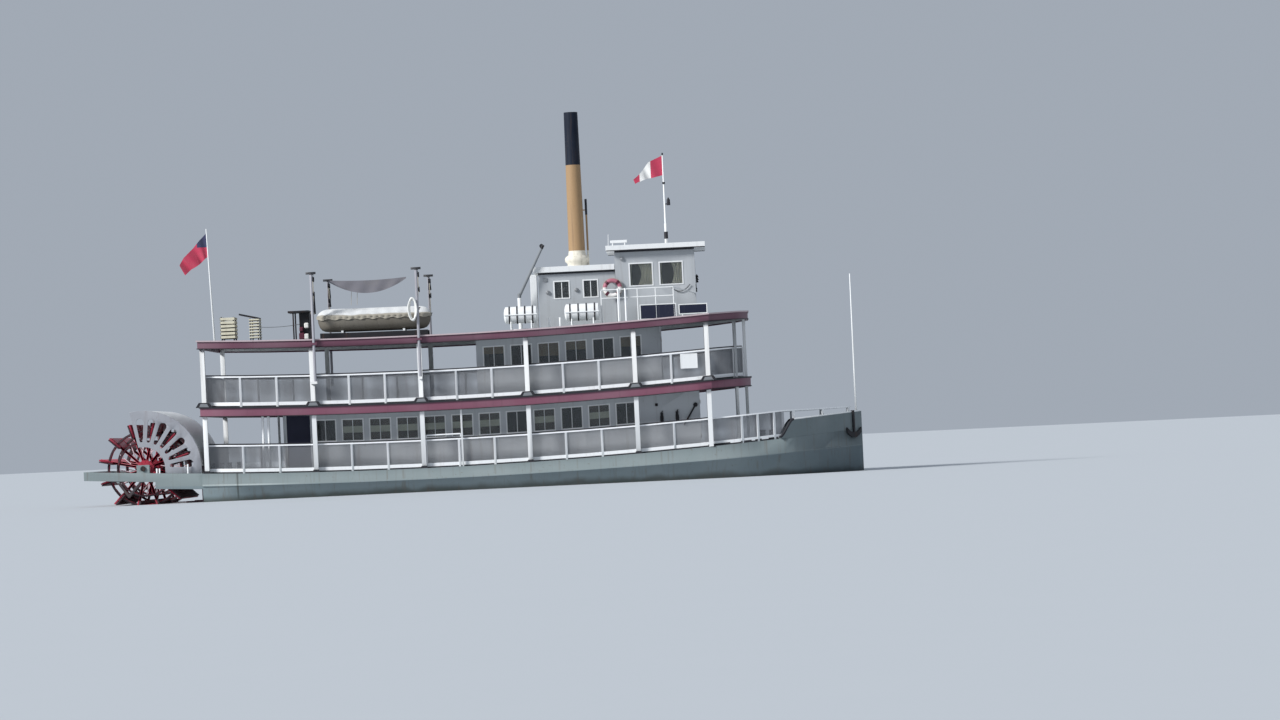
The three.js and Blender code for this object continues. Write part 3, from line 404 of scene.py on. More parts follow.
# %% [markdown]
# ## Finishes
#
# Old ship's paint is never one colour. It chalks in patches, rain draws dirt down it in streaks, and the
# brush leaves fine ridges. All of that is one node group, "Aged paint", which each paint uses with its
# own colours. A second group, "Woven", gives canvas and bunting their threads.

# %% A small language for nodes
def node(tree, kind, links=None, **settings):
    made = tree.nodes.new(kind)
    for name, value in settings.items():
        if name.startswith("in_"):
            made.inputs[name[3:]].default_value = value
        else:
            setattr(made, name, value)
    for socket, source in (links or {}).items():
        tree.links.new(source, made.inputs[socket])
    return made


def math_node(tree, operation, *values):
    made = tree.nodes.new("ShaderNodeMath")
    made.operation = operation
    for i, value in enumerate(values):
        if hasattr(value, "links"):
            tree.links.new(value, made.inputs[i])
        else:
            made.inputs[i].default_value = value
    return made.outputs[0]


def times(tree, first, second):
    return math_node(tree, "MULTIPLY", first, second)


def plus(tree, first, second):
    return math_node(tree, "ADD", first, second)


def minus(tree, first, second):
    return math_node(tree, "SUBTRACT", first, second)


def blend_node(tree, factor, first, second):
    made = tree.nodes.new("ShaderNodeMix")
    made.data_type = "RGBA"
    for name, value in (("Factor", factor), ("A", first), ("B", second)):
        sockets = [s for s in made.inputs if s.name == name and s.enabled]
        if hasattr(value, "links"):
            tree.links.new(value, sockets[0])
        else:
            sockets[0].default_value = value if name == "Factor" else (*value[:3], 1)
    return next(s for s in made.outputs if s.enabled)


def ramp_node(tree, value, low, high):
    made = node(tree, "ShaderNodeMapRange", {"Value": value}, interpolation_type="SMOOTHSTEP")
    made.inputs["From Min"].default_value = low
    made.inputs["From Max"].default_value = high
    return made.outputs["Result"]


def noise_node(tree, place, scale, detail=4.0, stretch=(1, 1, 1)):
    mapped = node(tree, "ShaderNodeMapping", {"Vector": place}, in_Scale=stretch).outputs[0]
    made = node(tree, "ShaderNodeTexNoise", {"Vector": mapped}, in_Scale=scale, in_Detail=detail)
    return made.outputs["Fac"]


def axes(tree, place):
    """The three axes of a place."""
    return tuple(node(tree, "ShaderNodeSeparateXYZ", {"Vector": place}).outputs)


def group(name, colour, values):
    """An empty node group; a place, colours and values come in, a colour, a roughness and a height go out."""
    tree = bpy.data.node_groups.new(name, "ShaderNodeTree")
    tree.interface.new_socket("Place", in_out="INPUT", socket_type="NodeSocketVector")
    for kind, sockets in (("Color", colour), ("Float", values)):
        for label, value in sockets.items():
            socket = tree.interface.new_socket(label, in_out="INPUT", socket_type="NodeSocket" + kind)
            socket.default_value = value
    for label, kind in (("Color", "Color"), ("Roughness", "Float"), ("Height", "Float")):
        tree.interface.new_socket(label, in_out="OUTPUT", socket_type="NodeSocket" + kind)
    given, put = tree.nodes.new("NodeGroupInput"), tree.nodes.new("NodeGroupOutput")
    return tree, given.outputs, put.inputs


# %% The aged paint group
aged, given, put = group(
    "Aged paint",
    {"Paint": (0.8, 0.8, 0.8, 1), "Dirt": (0.2, 0.17, 0.14, 1)},
    {"Patches": 0.25, "Streaks": 0.3, "Roughness": 0.5},
)
CHALK = (0.62, 0.64, 0.64)
place = given["Place"]
patches = ramp_node(aged, noise_node(aged, place, 0.7, 6), 0.35, 0.75)
chalk = times(aged, patches, given["Patches"])
runs = ramp_node(aged, noise_node(aged, place, 2.2, 5, (4, 4, 0.28)), 0.52, 0.82)
specks = ramp_node(aged, noise_node(aged, place, 9, 8), 0.62, 0.8)
grime = times(aged, math_node(aged, "MAXIMUM", runs, specks), given["Streaks"])
brush = noise_node(aged, place, 38, 3, (1, 1, 0.3))
faded = blend_node(aged, 0.82, CHALK, given["Paint"])
coloured = blend_node(aged, chalk, given["Paint"], faded)
aged.links.new(blend_node(aged, grime, coloured, given["Dirt"]), put["Color"])
rough = plus(aged, given["Roughness"], times(aged, grime, 0.35))
aged.links.new(plus(aged, rough, times(aged, brush, 0.08)), put["Roughness"])
aged.links.new(minus(aged, brush, times(aged, grime, 0.6)), put["Height"])
print("the aged paint group has", len(aged.nodes), "nodes")

# %% The woven group
woven, given, put = group("Woven", {"Cloth": (0.8, 0.8, 0.8, 1)}, {"Threads": 260.0, "Stain": 0.2})
BETWEEN_THREADS = (0.25, 0.23, 0.2)
place = given["Place"]
spots = times(woven, ramp_node(woven, noise_node(woven, place, 3, 6), 0.4, 0.8), given["Stain"])
x, y, z = axes(woven, place)
warp = math_node(woven, "SINE", times(woven, plus(woven, x, y), given["Threads"]))
weft = math_node(woven, "SINE", times(woven, z, given["Threads"]))
threads = math_node(woven, "MULTIPLY_ADD", times(woven, warp, weft), 0.5, 0.5)
shaded = math_node(woven, "MULTIPLY_ADD", threads, 0.12, spots)
woven.links.new(blend_node(woven, shaded, given["Cloth"], BETWEEN_THREADS), put["Color"])
woven.links.new(math_node(woven, "MULTIPLY_ADD", threads, 0.1, 0.82), put["Roughness"])
woven.links.new(threads, put["Height"])
print("the woven group has", len(woven.nodes), "nodes")


# %% Build a material around a group
def material(name):
    made = bpy.data.materials.new(name)
    made.use_nodes = True
    tree = made.node_tree
    place = tree.nodes.new("ShaderNodeTexCoord").outputs["Object"]
    return made, tree, tree.nodes["Principled BSDF"], place


def material_of(name, inner, socket, colour, values, strength, depth):
    """A material around a node group; colour is plain, or a function that draws one from the place."""
    made, tree, shader, place = material(name)
    use = node(tree, "ShaderNodeGroup", node_tree=inner)
    tree.links.new(place, use.inputs["Place"])
    if callable(colour):
        tree.links.new(colour(tree, place), use.inputs[socket])
    else:
        use.inputs[socket].default_value = (*colour, 1)
    for label, value in values.items():
        use.inputs[label].default_value = value
    tree.links.new(use.outputs["Color"], shader.inputs["Base Color"])
    tree.links.new(use.outputs["Roughness"], shader.inputs["Roughness"])
    height = {"Height": use.outputs["Height"]}
    relief = node(tree, "ShaderNodeBump", height, in_Strength=strength, in_Distance=depth)
    tree.links.new(relief.outputs["Normal"], shader.inputs["Normal"])
    return made, shader


METAL = {"black_iron": 0.3, "steel": 0.85, "wire_mesh": 0.2}
SHINE = {"dark_trim": 0.2, "buff_paint": 0.15, "black_iron": 0.3, "door_dark": 0.2, "dark_board": 0.2}
RIDGES = {"deck_paint": 0.5, "floor_matt": 0.05, "dark_plank": 0.6}


def paint(name, colour, dirt, patches, streaks, rough):
    """A ship's paint."""
    values = {"Dirt": (*dirt, 1), "Patches": patches, "Streaks": streaks, "Roughness": rough}
    made, shader = material_of(name, aged, "Paint", colour, values, RIDGES.get(name, 0.25), 0.004)
    shader.inputs["Metallic"].default_value = METAL.get(name, 0.0)
    shader.inputs["Specular IOR Level"].default_value = SHINE.get(name, 0.5)
    return made


def cloth(name, colour, threads, stain):
    """A woven cloth or a rope."""
    values = {"Threads": threads, "Stain": stain}
    made, shader = material_of(name, woven, "Cloth", colour, values, 0.4, 0.002)
    shader.inputs["Sheen Weight"].default_value = 0.3
    return made


# %% [markdown]
# ### Hull, stack and flags
#
# The hull is a greyed green. Above the strake at the knuckle it is lighter; below it the plating tucks in
# and is painted darker, as its shade, and it darkens further towards the water, where a stain has settled.
# Towards the stem it is painted darker again, as the shade of the bow turning away from the lamp. The
# border follows the knuckle's own parabola, so it is worked out from the place. The stack is buff with a
# black top, and the two flags have plain bands, drawn in the same way.

# %% Colours of the hull
KNUCKLE = WATER + 0.47
KNUCKLE_RATE = 0.0019
UPPER_STRAKE = (0.215, 0.258, 0.262)
# Below the knuckle the plating is painted darker: painted shade of the strake that tucks in.
TUCKED_STRAKE_SHADE = (0.185, 0.235, 0.252)
WATER_STAIN = (0.055, 0.07, 0.065)
# Painted shade of the bow, which turns away from the lamp.
BOW_SHADE_PAINT = (0.03, 0.055, 0.075)
DRAIN_X = -8.44
STRUT_TOP, STRUT_FORE = 1.665, -11.6
STRUT_PAINT = (0.05, 0.035, 0.04)


def hull_colour(tree, place):
    x, _, z = axes(tree, place)
    run = plus(tree, x, -SHEER_LOW)
    curve = math_node(tree, "MULTIPLY_ADD", times(tree, run, run), KNUCKLE_RATE, KNUCKLE)
    above = ramp_node(tree, minus(tree, z, curve), -0.03, 0.0)
    shade = blend_node(tree, above, TUCKED_STRAKE_SHADE, UPPER_STRAKE)
    wobble = math_node(tree, "MULTIPLY_ADD", noise_node(tree, place, 1.4, 6), 0.35, -0.17)
    wet = ramp_node(tree, minus(tree, z, wobble), WATER + 0.28, WATER + 0.02)
    shade = blend_node(tree, wet, shade, WATER_STAIN)
    # Towards the stem the plating is painted darker, as the bow's shade.
    bow_shade = times(tree, ramp_node(tree, x, 8.5, 13.0), 0.42)
    shade = blend_node(tree, bow_shade, shade, BOW_SHADE_PAINT)
    drain = math_node(tree, "ABSOLUTE", plus(tree, x, -DRAIN_X))
    mark = times(tree, ramp_node(tree, drain, 0.05, 0.012), 0.75)
    return blend_node(tree, mark, shade, WATER_STAIN)


def frame_colour(tree, place):
    """The stern frame is the hull's colour, but its two thin struts are dark."""
    x, _, z = axes(tree, place)
    low = math_node(tree, "LESS_THAN", z, STRUT_TOP)
    aft = math_node(tree, "LESS_THAN", x, STRUT_FORE)
    return blend_node(tree, times(tree, low, aft), hull_colour(tree, place), STRUT_PAINT)


# %% Colours of the stack and the flags
BLACK_TOP, SKIRT_TOP = 12.42, 9.3
BUFF, SOOT, SKIRT = (0.37, 0.24, 0.13), (0.008, 0.013, 0.026), (0.74, 0.7, 0.6)
RED, BUNTING_WHITE, NAVY = (0.5, 0.02, 0.075), (0.8, 0.8, 0.78), (0.02, 0.025, 0.09)
WHITE_BAND = (6.3, 6.71)
CANTON_X, CANTON_Z = -9.9, WATER + 9.22


def stack_colour(tree, place):
    z = axes(tree, place)[2]
    shade = blend_node(tree, ramp_node(tree, z, BLACK_TOP - 0.01, BLACK_TOP + 0.01), BUFF, SOOT)
    return blend_node(tree, ramp_node(tree, z, SKIRT_TOP + 0.01, SKIRT_TOP - 0.01), shade, SKIRT)


def both(tree, first, second, outside, inside):
    """One colour where two masks meet, and another elsewhere."""
    return blend_node(tree, times(tree, first, second), outside, inside)


def band_colour(tree, place):
    x = axes(tree, place)[0]
    fore = math_node(tree, "GREATER_THAN", x, WHITE_BAND[0])
    aft = math_node(tree, "LESS_THAN", x, WHITE_BAND[1])
    return both(tree, fore, aft, RED, BUNTING_WHITE)


def ensign_colour(tree, place):
    x, _, z = axes(tree, place)
    upper = math_node(tree, "GREATER_THAN", z, CANTON_Z)
    hoist = math_node(tree, "GREATER_THAN", x, CANTON_X)
    return both(tree, upper, hoist, RED, NAVY)


# %% Colours of the davits, the boat's cover, the blinds and the life rings
DAVIT_HEAD = WATER + 7.9
COVER_FOOT = WATER + 6.31
BLIND_BAND = (MAIN_DECK + 1.37, MAIN_DECK + 1.6)
BAND_SOFT = 0.012
RING_Z = WATER + 6.98


def height_over(tree, place):
    """The height of a place over the sheer."""
    x, _, z = axes(tree, place)
    run = plus(tree, x, -SHEER_LOW)
    return minus(tree, z, times(tree, times(tree, run, run), SHEER_RATE))


def davit_colour(tree, place):
    z = axes(tree, place)[2]
    head = ramp_node(tree, z, DAVIT_HEAD - 0.02, DAVIT_HEAD)
    return blend_node(tree, head, (0.38, 0.375, 0.41), (0.03, 0.03, 0.035))


def cover_colour(tree, place):
    wave = times(tree, noise_node(tree, place, 1.6, 3, (1, 0.2, 0.2)), 0.16)
    skirt = ramp_node(tree, minus(tree, height_over(tree, place), wave), COVER_FOOT + 0.04, COVER_FOOT)
    return blend_node(tree, skirt, (0.7, 0.71, 0.71), (0.34, 0.31, 0.25))


def blind_colour(tree, place):
    height = height_over(tree, place)
    low, high = BLIND_BAND
    over = ramp_node(tree, height, low - BAND_SOFT, low + BAND_SOFT)
    under = ramp_node(tree, height, high + BAND_SOFT, high - BAND_SOFT)
    return both(tree, over, under, (0.13, 0.09, 0.065), (0.92, 0.84, 0.64))


def ring_colour(tree, place):
    upper = ramp_node(tree, axes(tree, place)[2], RING_Z, RING_Z + 0.06)
    return blend_node(tree, upper, (0.82, 0.8, 0.77), (0.42, 0.13, 0.18))


# %% The glass
def glass_material():
    made, tree, shader, place = material("window_glass")
    shader.inputs["Base Color"].default_value = (0.75, 0.81, 0.83, 1)
    shader.inputs["Transmission Weight"].default_value = 0.97
    shader.inputs["IOR"].default_value = 1.45
    shader.inputs["Specular IOR Level"].default_value = 0.3
    film = math_node(tree, "MULTIPLY_ADD", noise_node(tree, place, 2.5, 6), 0.22, 0.0)
    tree.links.new(film, shader.inputs["Roughness"])
    return made


# %% All the finishes
# A paint's row gives its colour, its dirt, how much it is chalked and streaked, and its roughness.
PAINTS = {
    "hull_paint": (hull_colour, (0.13, 0.09, 0.06), 0.4, 0.45, 0.5),
    "frame_paint": (frame_colour, (0.13, 0.09, 0.06), 0.3, 0.45, 0.5),
    "white_paint": ((0.8, 0.81, 0.81), (0.3, 0.27, 0.23), 0.3, 0.25, 0.42),
    "grey_white": ((0.42, 0.44, 0.46), (0.2, 0.18, 0.16), 0.3, 0.25, 0.45),
    # The cabins' white walls are painted grey, as the shade under the decks above them.
    "cabin_paint": ((0.5, 0.52, 0.54), (0.2, 0.18, 0.16), 0.3, 0.25, 0.45),
    "cover_paint": ((0.32, 0.33, 0.36), (0.2, 0.16, 0.16), 0.35, 0.45, 0.5),
    "rail_paint": ((0.9, 0.91, 0.92), (0.35, 0.31, 0.28), 0.15, 0.2, 0.42),
    "davit_paint": (davit_colour, (0.12, 0.07, 0.05), 0.3, 0.4, 0.5),
    "boom_paint": ((0.2, 0.215, 0.23), (0.12, 0.08, 0.06), 0.3, 0.3, 0.45),
    "dark_trim": ((0.03, 0.03, 0.036), (0.1, 0.08, 0.07), 0.06, 0.3, 0.5),
    # Near black: painted shade of the rooms seen through the windows.
    "dark_panelling": ((0.035, 0.028, 0.024), (0.02, 0.02, 0.02), 0.03, 0.2, 0.5),
    "door_paint": ((0.68, 0.64, 0.55), (0.25, 0.2, 0.15), 0.3, 0.3, 0.4),
    # Near black: painted shade of a doorway.
    "door_dark": ((0.012, 0.014, 0.035), (0.05, 0.05, 0.06), 0.05, 0.2, 0.4),
    "deck_paint": ((0.3, 0.32, 0.32), (0.12, 0.1, 0.09), 0.6, 0.6, 0.78),
    "maroon_paint": ((0.13, 0.045, 0.075), (0.06, 0.03, 0.04), 0.3, 0.3, 0.45),
    "maroon_low": ((0.2, 0.065, 0.105), (0.08, 0.04, 0.05), 0.3, 0.3, 0.45),
    "lip_paint": ((0.5, 0.4, 0.42), (0.25, 0.15, 0.15), 0.3, 0.4, 0.5),
    "crimson_paint": ((0.42, 0.02, 0.05), (0.09, 0.02, 0.03), 0.4, 0.5, 0.4),
    "dark_plank": ((0.05, 0.022, 0.03), (0.09, 0.08, 0.07), 0.4, 0.6, 0.7),
    "brace_paint": ((0.72, 0.55, 0.58), (0.3, 0.12, 0.14), 0.3, 0.4, 0.5),
    "buff_paint": (stack_colour, (0.12, 0.08, 0.05), 0.06, 0.35, 0.45),
    "black_iron": ((0.022, 0.022, 0.026), (0.13, 0.06, 0.03), 0.06, 0.35, 0.5),
    "steel": ((0.36, 0.37, 0.38), (0.15, 0.08, 0.05), 0.3, 0.3, 0.35),
    "wire_mesh": ((0.3, 0.31, 0.33), (0.16, 0.12, 0.1), 0.3, 0.4, 0.5),
    "olive_paint": ((0.125, 0.108, 0.082), (0.05, 0.04, 0.03), 0.4, 0.4, 0.6),
    "raft_plastic": ((0.86, 0.87, 0.87), (0.3, 0.28, 0.25), 0.15, 0.15, 0.35),
    "ring_paint": (ring_colour, (0.3, 0.2, 0.2), 0.1, 0.25, 0.45),
    "buoy_paint": ((0.82, 0.8, 0.76), (0.3, 0.27, 0.22), 0.3, 0.25, 0.45),
    "dark_red": ((0.09, 0.012, 0.03), (0.05, 0.02, 0.02), 0.05, 0.3, 0.5),
    "dark_board": ((0.015, 0.018, 0.04), (0.1, 0.1, 0.1), 0.05, 0.3, 0.5),
    "cream_slats": ((0.66, 0.62, 0.48), (0.2, 0.16, 0.1), 0.4, 0.4, 0.55),
    "floor_matt": ((0.5, 0.53, 0.56), (0.47, 0.5, 0.53), 0.1, 0.1, 0.85),
}
# A cloth's row gives its colour, its threads and how much it is stained.
CLOTHS = {
    "cover_canvas": (cover_colour, 300.0, 0.25),
    "grey_canvas": ((0.19, 0.185, 0.215), 300.0, 0.2),
    "mast_bunting": (band_colour, 420.0, 0.08),
    "ensign_bunting": (ensign_colour, 420.0, 0.08),
    "blind_cloth": ((0.3, 0.2, 0.11), 500.0, 0.2),
    "banded_blind": (blind_colour, 500.0, 0.15),
    "curtain_cloth": ((0.62, 0.55, 0.42), 400.0, 0.25),
    "rope": ((0.55, 0.5, 0.4), 420.0, 0.4),
    "white_rope": ((0.8, 0.8, 0.77), 420.0, 0.15),
}
FINISH = {name: paint(name, *values) for name, values in PAINTS.items()}
FINISH.update({name: cloth(name, *values) for name, values in CLOTHS.items()})
FINISH["window_glass"] = glass_material()
floor.data.materials.append(FINISH["floor_matt"])
print(len(FINISH), "finishes")


# %% Finish a piece
SMOOTH = math.radians(35)


def piece(obj, name, finish, body="root", slot=None, smooth=SMOOTH):
    """Names a finished piece, smooths it, gives it its finish and lets it ride on its body."""
    obj.name = obj.data.name = name
    pick(obj)
    bpy.ops.object.transform_apply()
    bpy.ops.object.shade_smooth_by_angle(angle=smooth)
    obj.data.materials.clear()
    obj.data.materials.append(FINISH[finish])
    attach(obj, body)
    slot or finish
    return obj


def fitted(parts, name, finish, slot=None, body="root", smooth=SMOOTH):
    """Joins the parts of one piece and finishes it."""
    return piece(join(*parts), name, finish, body, slot, smooth)


def on_both_sides(parts, name, finish, slot=None):
    """Joins starboard parts, bends them to the sheer, mirrors them to port and finishes them."""
    return piece(mirrored(sheered(join(*parts))), name, finish, slot=slot)


# %% [markdown]
# ## The pieces that come from the frame
#
# The frame's nodes are exact but plain: flat facets and sharp edges. Painted timber and plate has eased
# edges that catch the light, and a bow is smooth. So each node is copied, its loose triangles are merged
# and its flat parts dissolved, its sharp edges get a small bevel, and the rest is shaded smooth. The copy
# then stands for the node.

# %% Remake the nodes
NODE_BEVEL = 0.006


def remade(name, finish, bevel, slot):
    source = frame["nodes"][name]
    obj = twin(source)
    obj.parent = None
    edit(obj)
    bpy.ops.mesh.remove_doubles(threshold=0.0002)
    bpy.ops.mesh.dissolve_limited(angle_limit=math.radians(0.4))
    bpy.ops.mesh.vert_connect_concave()
    leave()
    if bevel:
        eased(obj, bevel, degrees=40)
        edit(obj)
        bpy.ops.mesh.vert_connect_concave()
        leave()
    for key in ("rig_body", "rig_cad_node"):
        del obj[key]
    piece(obj, name + "_finished", finish, source["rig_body"], slot)
    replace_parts(obj, name)


SLOT_OF = {part["node"]: part["material_slot"] for part in frame["record"]["subparts"]}
DRAWN_ANEW = {
    "main_screens",
    "upper_screens",
    "mast_flag",
    "ensign",
    "awning",
    "lifeboat",
    "lifeboat_cover",
    "life_raft_aft",
    "life_raft_fore",
}
NO_BEVEL = {"hull", "paddle_wheel", "wheel_cover_shell", "smokestack"}
REPAINTED = {
    "pilothouse_walls": "grey_white",
    "texas_walls": "grey_white",
    "wheel_cover_port": "cover_paint",
    "wheel_cover_starboard": "cover_paint",
    "upper_fascia": "maroon_low",
    "crane_boom": "boom_paint",
    "fantail_frame": "frame_paint",
}
SET_REPAINTED = {"_cabin_wall_": "cabin_paint", "davit_": "davit_paint", "_rail_": "rail_paint"}
for name in sorted(set(frame["nodes"]) - DRAWN_ANEW):
    finish = REPAINTED.get(name, SLOT_OF[name])
    for part_of_name, shared in SET_REPAINTED.items():
        if part_of_name in name:
            finish = shared
    remade(name, finish, 0 if name in NO_BEVEL else NODE_BEVEL, SLOT_OF[name])
print("remade", len(frame["nodes"]) - len(DRAWN_ANEW), "nodes")

# %% [markdown]
# ## Wire mesh in the rails
#
# Between the rail posts of both decks hangs fine wire mesh, which reads from afar as a grey veil.
# Painting a plate half clear would look flat from nearby, so each panel is woven from real wires: one
# upright wire and one level wire, each repeated by an array, cut to the length between two points of the
# rail's line and turned onto it.

# %% Weave the panels
WIRE = 0.01
PITCH = 0.032


def wire_panel(start, end, low, high):
    length = math.dist(start, end)
    across = max(1, round(length / PITCH))
    upward = max(1, round((high - low) / PITCH))
    standing_wire = block((0, -WIRE / 2, low), (WIRE, WIRE / 2, high), 0)
    row(standing_wire, (length / across, 0, 0), across)
    level_wire = block((0, -WIRE / 2, low), (length, WIRE / 2, low + WIRE), 0)
    row(level_wire, (0, 0, (high - low) / upward), upward)
    panel = join(standing_wire, level_wire)
    return moved(panel, (*start, 0), math.atan2(end[1] - start[1], end[0] - start[0]))


# %% Follow the rail's line
RAIL_IN = 0.255
BOW_RAIL_IN = 0.1
MESH_IN = 0.03
BOW_BEGINS, BOW_EASE = 8.6, 0.8
RAIL_TOP = {"main": 1.01, "upper": 1.1}
BOW_POSTS = (9.56, 10.13, 10.72, 11.15)


def hull_half(x):
    t = max(0, (x - 7) / 6.93)
    return 0.06 + 3.44 * (1 - t**2.45)


def bow_line(x, inset):
    """A point on the main deck at a distance inside the hull's edge."""
    slope = (hull_half(x + 0.001) - hull_half(x - 0.001)) / 0.002
    length = math.hypot(1, slope)
    return x + slope / length * inset, hull_half(x) - inset / length


def rail_line(x, out=0.0):
    """A point on the main deck's rail, or at a distance outside it."""
    ease = min(1, max(0, (x - BOW_BEGINS) / BOW_EASE))
    return bow_line(x, RAIL_IN + (BOW_RAIL_IN - RAIL_IN) * ease + MESH_IN - out)


def drawn_in(distance):
    """The corners of the decks' front, drawn in by a distance."""
    whole = [Vector((STERN, HALF_BEAM)), *map(Vector, PLAN), Vector((PLAN[-1][0], 0))]
    corners = []
    for before, at, after in zip(whole, whole[1:], whole[2:]):
        into, out = (at - before).normalized(), (after - at).normalized()
        middle = (into + out).normalized()
        reach = distance / middle.dot(into)
        corners.append((at.x + middle.y * reach, at.y - middle.x * reach))
    return corners


def rail_posts():
    """Where the rail posts stand along the sides, main posts among them."""
    spots = []
    for aft, fore in zip(POSTS, POSTS[1:]):
        parts = 3 if fore - aft > 3 else 2
        spots += [aft + (fore - aft) * k / parts for k in range(parts)]
    return spots + [POSTS[-1]]


rail_side = HALF_BEAM - RAIL_IN - MESH_IN
stern_line = [(POSTS[0] + MESH_IN, 0), (POSTS[0] + MESH_IN, rail_side)]
main_line = stern_line + [rail_line(x) for x in (*rail_posts()[1:], *BOW_POSTS)]
upper_corners = drawn_in(RAIL_IN + MESH_IN)
upper_line = stern_line + [(x, rail_side) for x in rail_posts()[1:-1]]
upper_line += upper_corners + [(upper_corners[-1][0], 0)]
for name, line, deck in (("main", main_line, MAIN_DECK), ("upper", upper_line, UPPER_DECK)):
    panels = [wire_panel(a, b, deck + 0.07, deck + RAIL_TOP[name] - 0.02) for a, b in zip(line, line[1:])]
    veil = on_both_sides(panels, name + "_wire_mesh", "wire_mesh")
    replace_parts(veil, name + "_screens")
    print(name, "deck: mesh in", 2 * len(panels), "panels,", len(veil.data.polygons), "faces")

# %% [markdown]
# ## Edge boards, lips and post feet
#
# Each deck ends in a deep maroon board. A lip runs along its top: on the roof it is light, where the deck's
# covering is turned over it, and on the upper deck it is near black, as painted shade under the rail's
# boards. A near-black bead runs along its foot, as painted shade under the board's edge. Both go round the
# whole boat, so each is drawn as a closed line in plan, extruded up into a ribbon, and given its thickness.

# %% Run the lips round both decks
LIP_OUT, LIP_DROP, LIP_THICK = 0.012, 0.045, 0.03
BEAD_OUT, BEAD_RISE, BEAD_THICK = 0.008, 0.022, 0.02


def around(out, low, high, thick):
    """A ribbon round a deck's edge, both sides in one."""
    corners = drawn_in(-out)
    side = [(STERN - out, 0), (STERN - out, HALF_BEAM + out), *corners, (corners[-1][0], 0)]
    outline = [(x, -y) for x, y in side[::-1]] + side[1:-1]
    return sheered(strip(outline, low, high, thick, closed=True))


# The upper deck's lip is near black, as painted shade under the rail's boards; the roof's lip is its own
# light paint.
for name, top, depth, lip_paint_and_shade in (
    ("upper", UPPER_DECK, 0.34, "dark_trim"),
    ("roof", ROOF_DECK, 0.3, "lip_paint"),
):
    lip = around(LIP_OUT, top - LIP_DROP, top + 0.004, LIP_THICK)
    piece(lip, name + "_edge_lip", lip_paint_and_shade, slot="maroon_paint")
    # The bead is near black: painted shade under the board's lower edge.
    bead = around(BEAD_OUT, top - depth - 0.004, top - depth + BEAD_RISE, BEAD_THICK)
    piece(bead, name + "_edge_bead", "black_iron", slot="maroon_paint")
    print(name, "deck: a lip and a bead")


# %% Set the feet of the main posts
# A grey foot spreads from each post of the upper deck. Behind it the board under the rail is cut off
# aslant, and the shade in the gap on both sides is painted as a dark block. At the main deck the posts go
# straight down, with a small dark block of painted shade beside each.
FOOT_TAPER = 0.62


def spread_foot(x, out, deck, half, height):
    """A block that stands on a deck's edge and is narrower at its top."""
    foot = block((x - half, -out, deck - 0.02), (x + half, -out + 0.1, deck + height), 0.004)
    for v in foot.data.vertices:
        if v.co.z > deck + height * 0.5:
            v.co.x = x + (v.co.x - x) * FOOT_TAPER
    return foot


main_gap_shade = [spread_foot(x, min(HALF_BEAM, hull_half(x)) - 0.01, MAIN_DECK, 0.15, 0.09) for x in POSTS]
upper_gap_shade = [spread_foot(x, HALF_BEAM - 0.01, UPPER_DECK, 0.3, 0.16) for x in POSTS]
feet = [spread_foot(x, HALF_BEAM + 0.006, UPPER_DECK, 0.19, 0.12) for x in POSTS]
# These dark blocks are painted shade in the gaps beside the posts.
on_both_sides(main_gap_shade, "main_board_gaps", "dark_trim", "white_paint")
on_both_sides(upper_gap_shade, "upper_board_gaps", "dark_trim", "white_paint")
on_both_sides(feet, "upper_post_feet", "steel", "white_paint")
print(2 * len(feet), "feet")

# %% Run dark caps on the rails and a dark line under their boards
CAP_R = 0.032
BOARD_OUT, BOARD_THICK = 0.04, 0.01
for name, line, deck in (
    ("main", main_line[: -len(BOW_POSTS)], MAIN_DECK),
    ("upper", upper_line[1:], UPPER_DECK),
):
    spots = [(x, y, deck + RAIL_TOP[name] + 0.016) for x, y in line]
    cap = pipe(spots, CAP_R, smooth=False, sides=1)
    on_both_sides([cap], name + "_rail_caps", "dark_trim", "white_paint")
    under = [(x, -y - BOARD_OUT) for x, y in line if y > 2]
    shadow = strip(under, deck + 0.004, deck + 0.052, BOARD_THICK)
    on_both_sides([shadow], name + "_board_shadow", "dark_trim", "white_paint")
    print(name, "deck: caps and lines")

# %% [markdown]
# ## Windows
#
# A cabin window here is a fixed pane in a proud frame, with a roller blind behind some of the panes. The
# frame is a block whose front and back are inset and bridged through, which gives all four rails at once
# with clean mitres. One window is modelled and the row is an array of it, bent with the sheer as the wall
# is.


# %% One window
CASING = 0.045
PANE = 0.008
WALL = 0.06
PROUD = 0.03


def ring(width, height, rail, depth):
    """An upright frame about the origin, open along Y."""
    bpy.ops.mesh.primitive_cube_add(size=1)
    obj = bpy.context.active_object
    obj.scale = (width, depth, height)
    bpy.ops.object.transform_apply()
    edit_faces(obj, 1)
    bpy.ops.mesh.inset(thickness=rail, use_individual=True)
    bpy.ops.mesh.bridge_edge_loops()
    leave()
    return eased(obj, 0.005)


def face_box(width, height, thick, out=0.0):
    """A flat board about the origin, facing along Y."""
    half, deep, tall = width / 2, thick / 2, height / 2
    return block((-half, out - deep, -tall), (half, out + deep, tall), 0.002)


def casement(width, height, bar=0.0, bar_out=0.0):
    """A frame, with an upright bar down its middle where one is given, and its pane."""
    casing = ring(width + CASING, height + CASING, CASING, WALL + PROUD)
    if bar:
        casing = join(casing, face_box(bar, height, 0.03, bar_out))
    return casing, face_box(width - 0.02, height - 0.02, PANE)


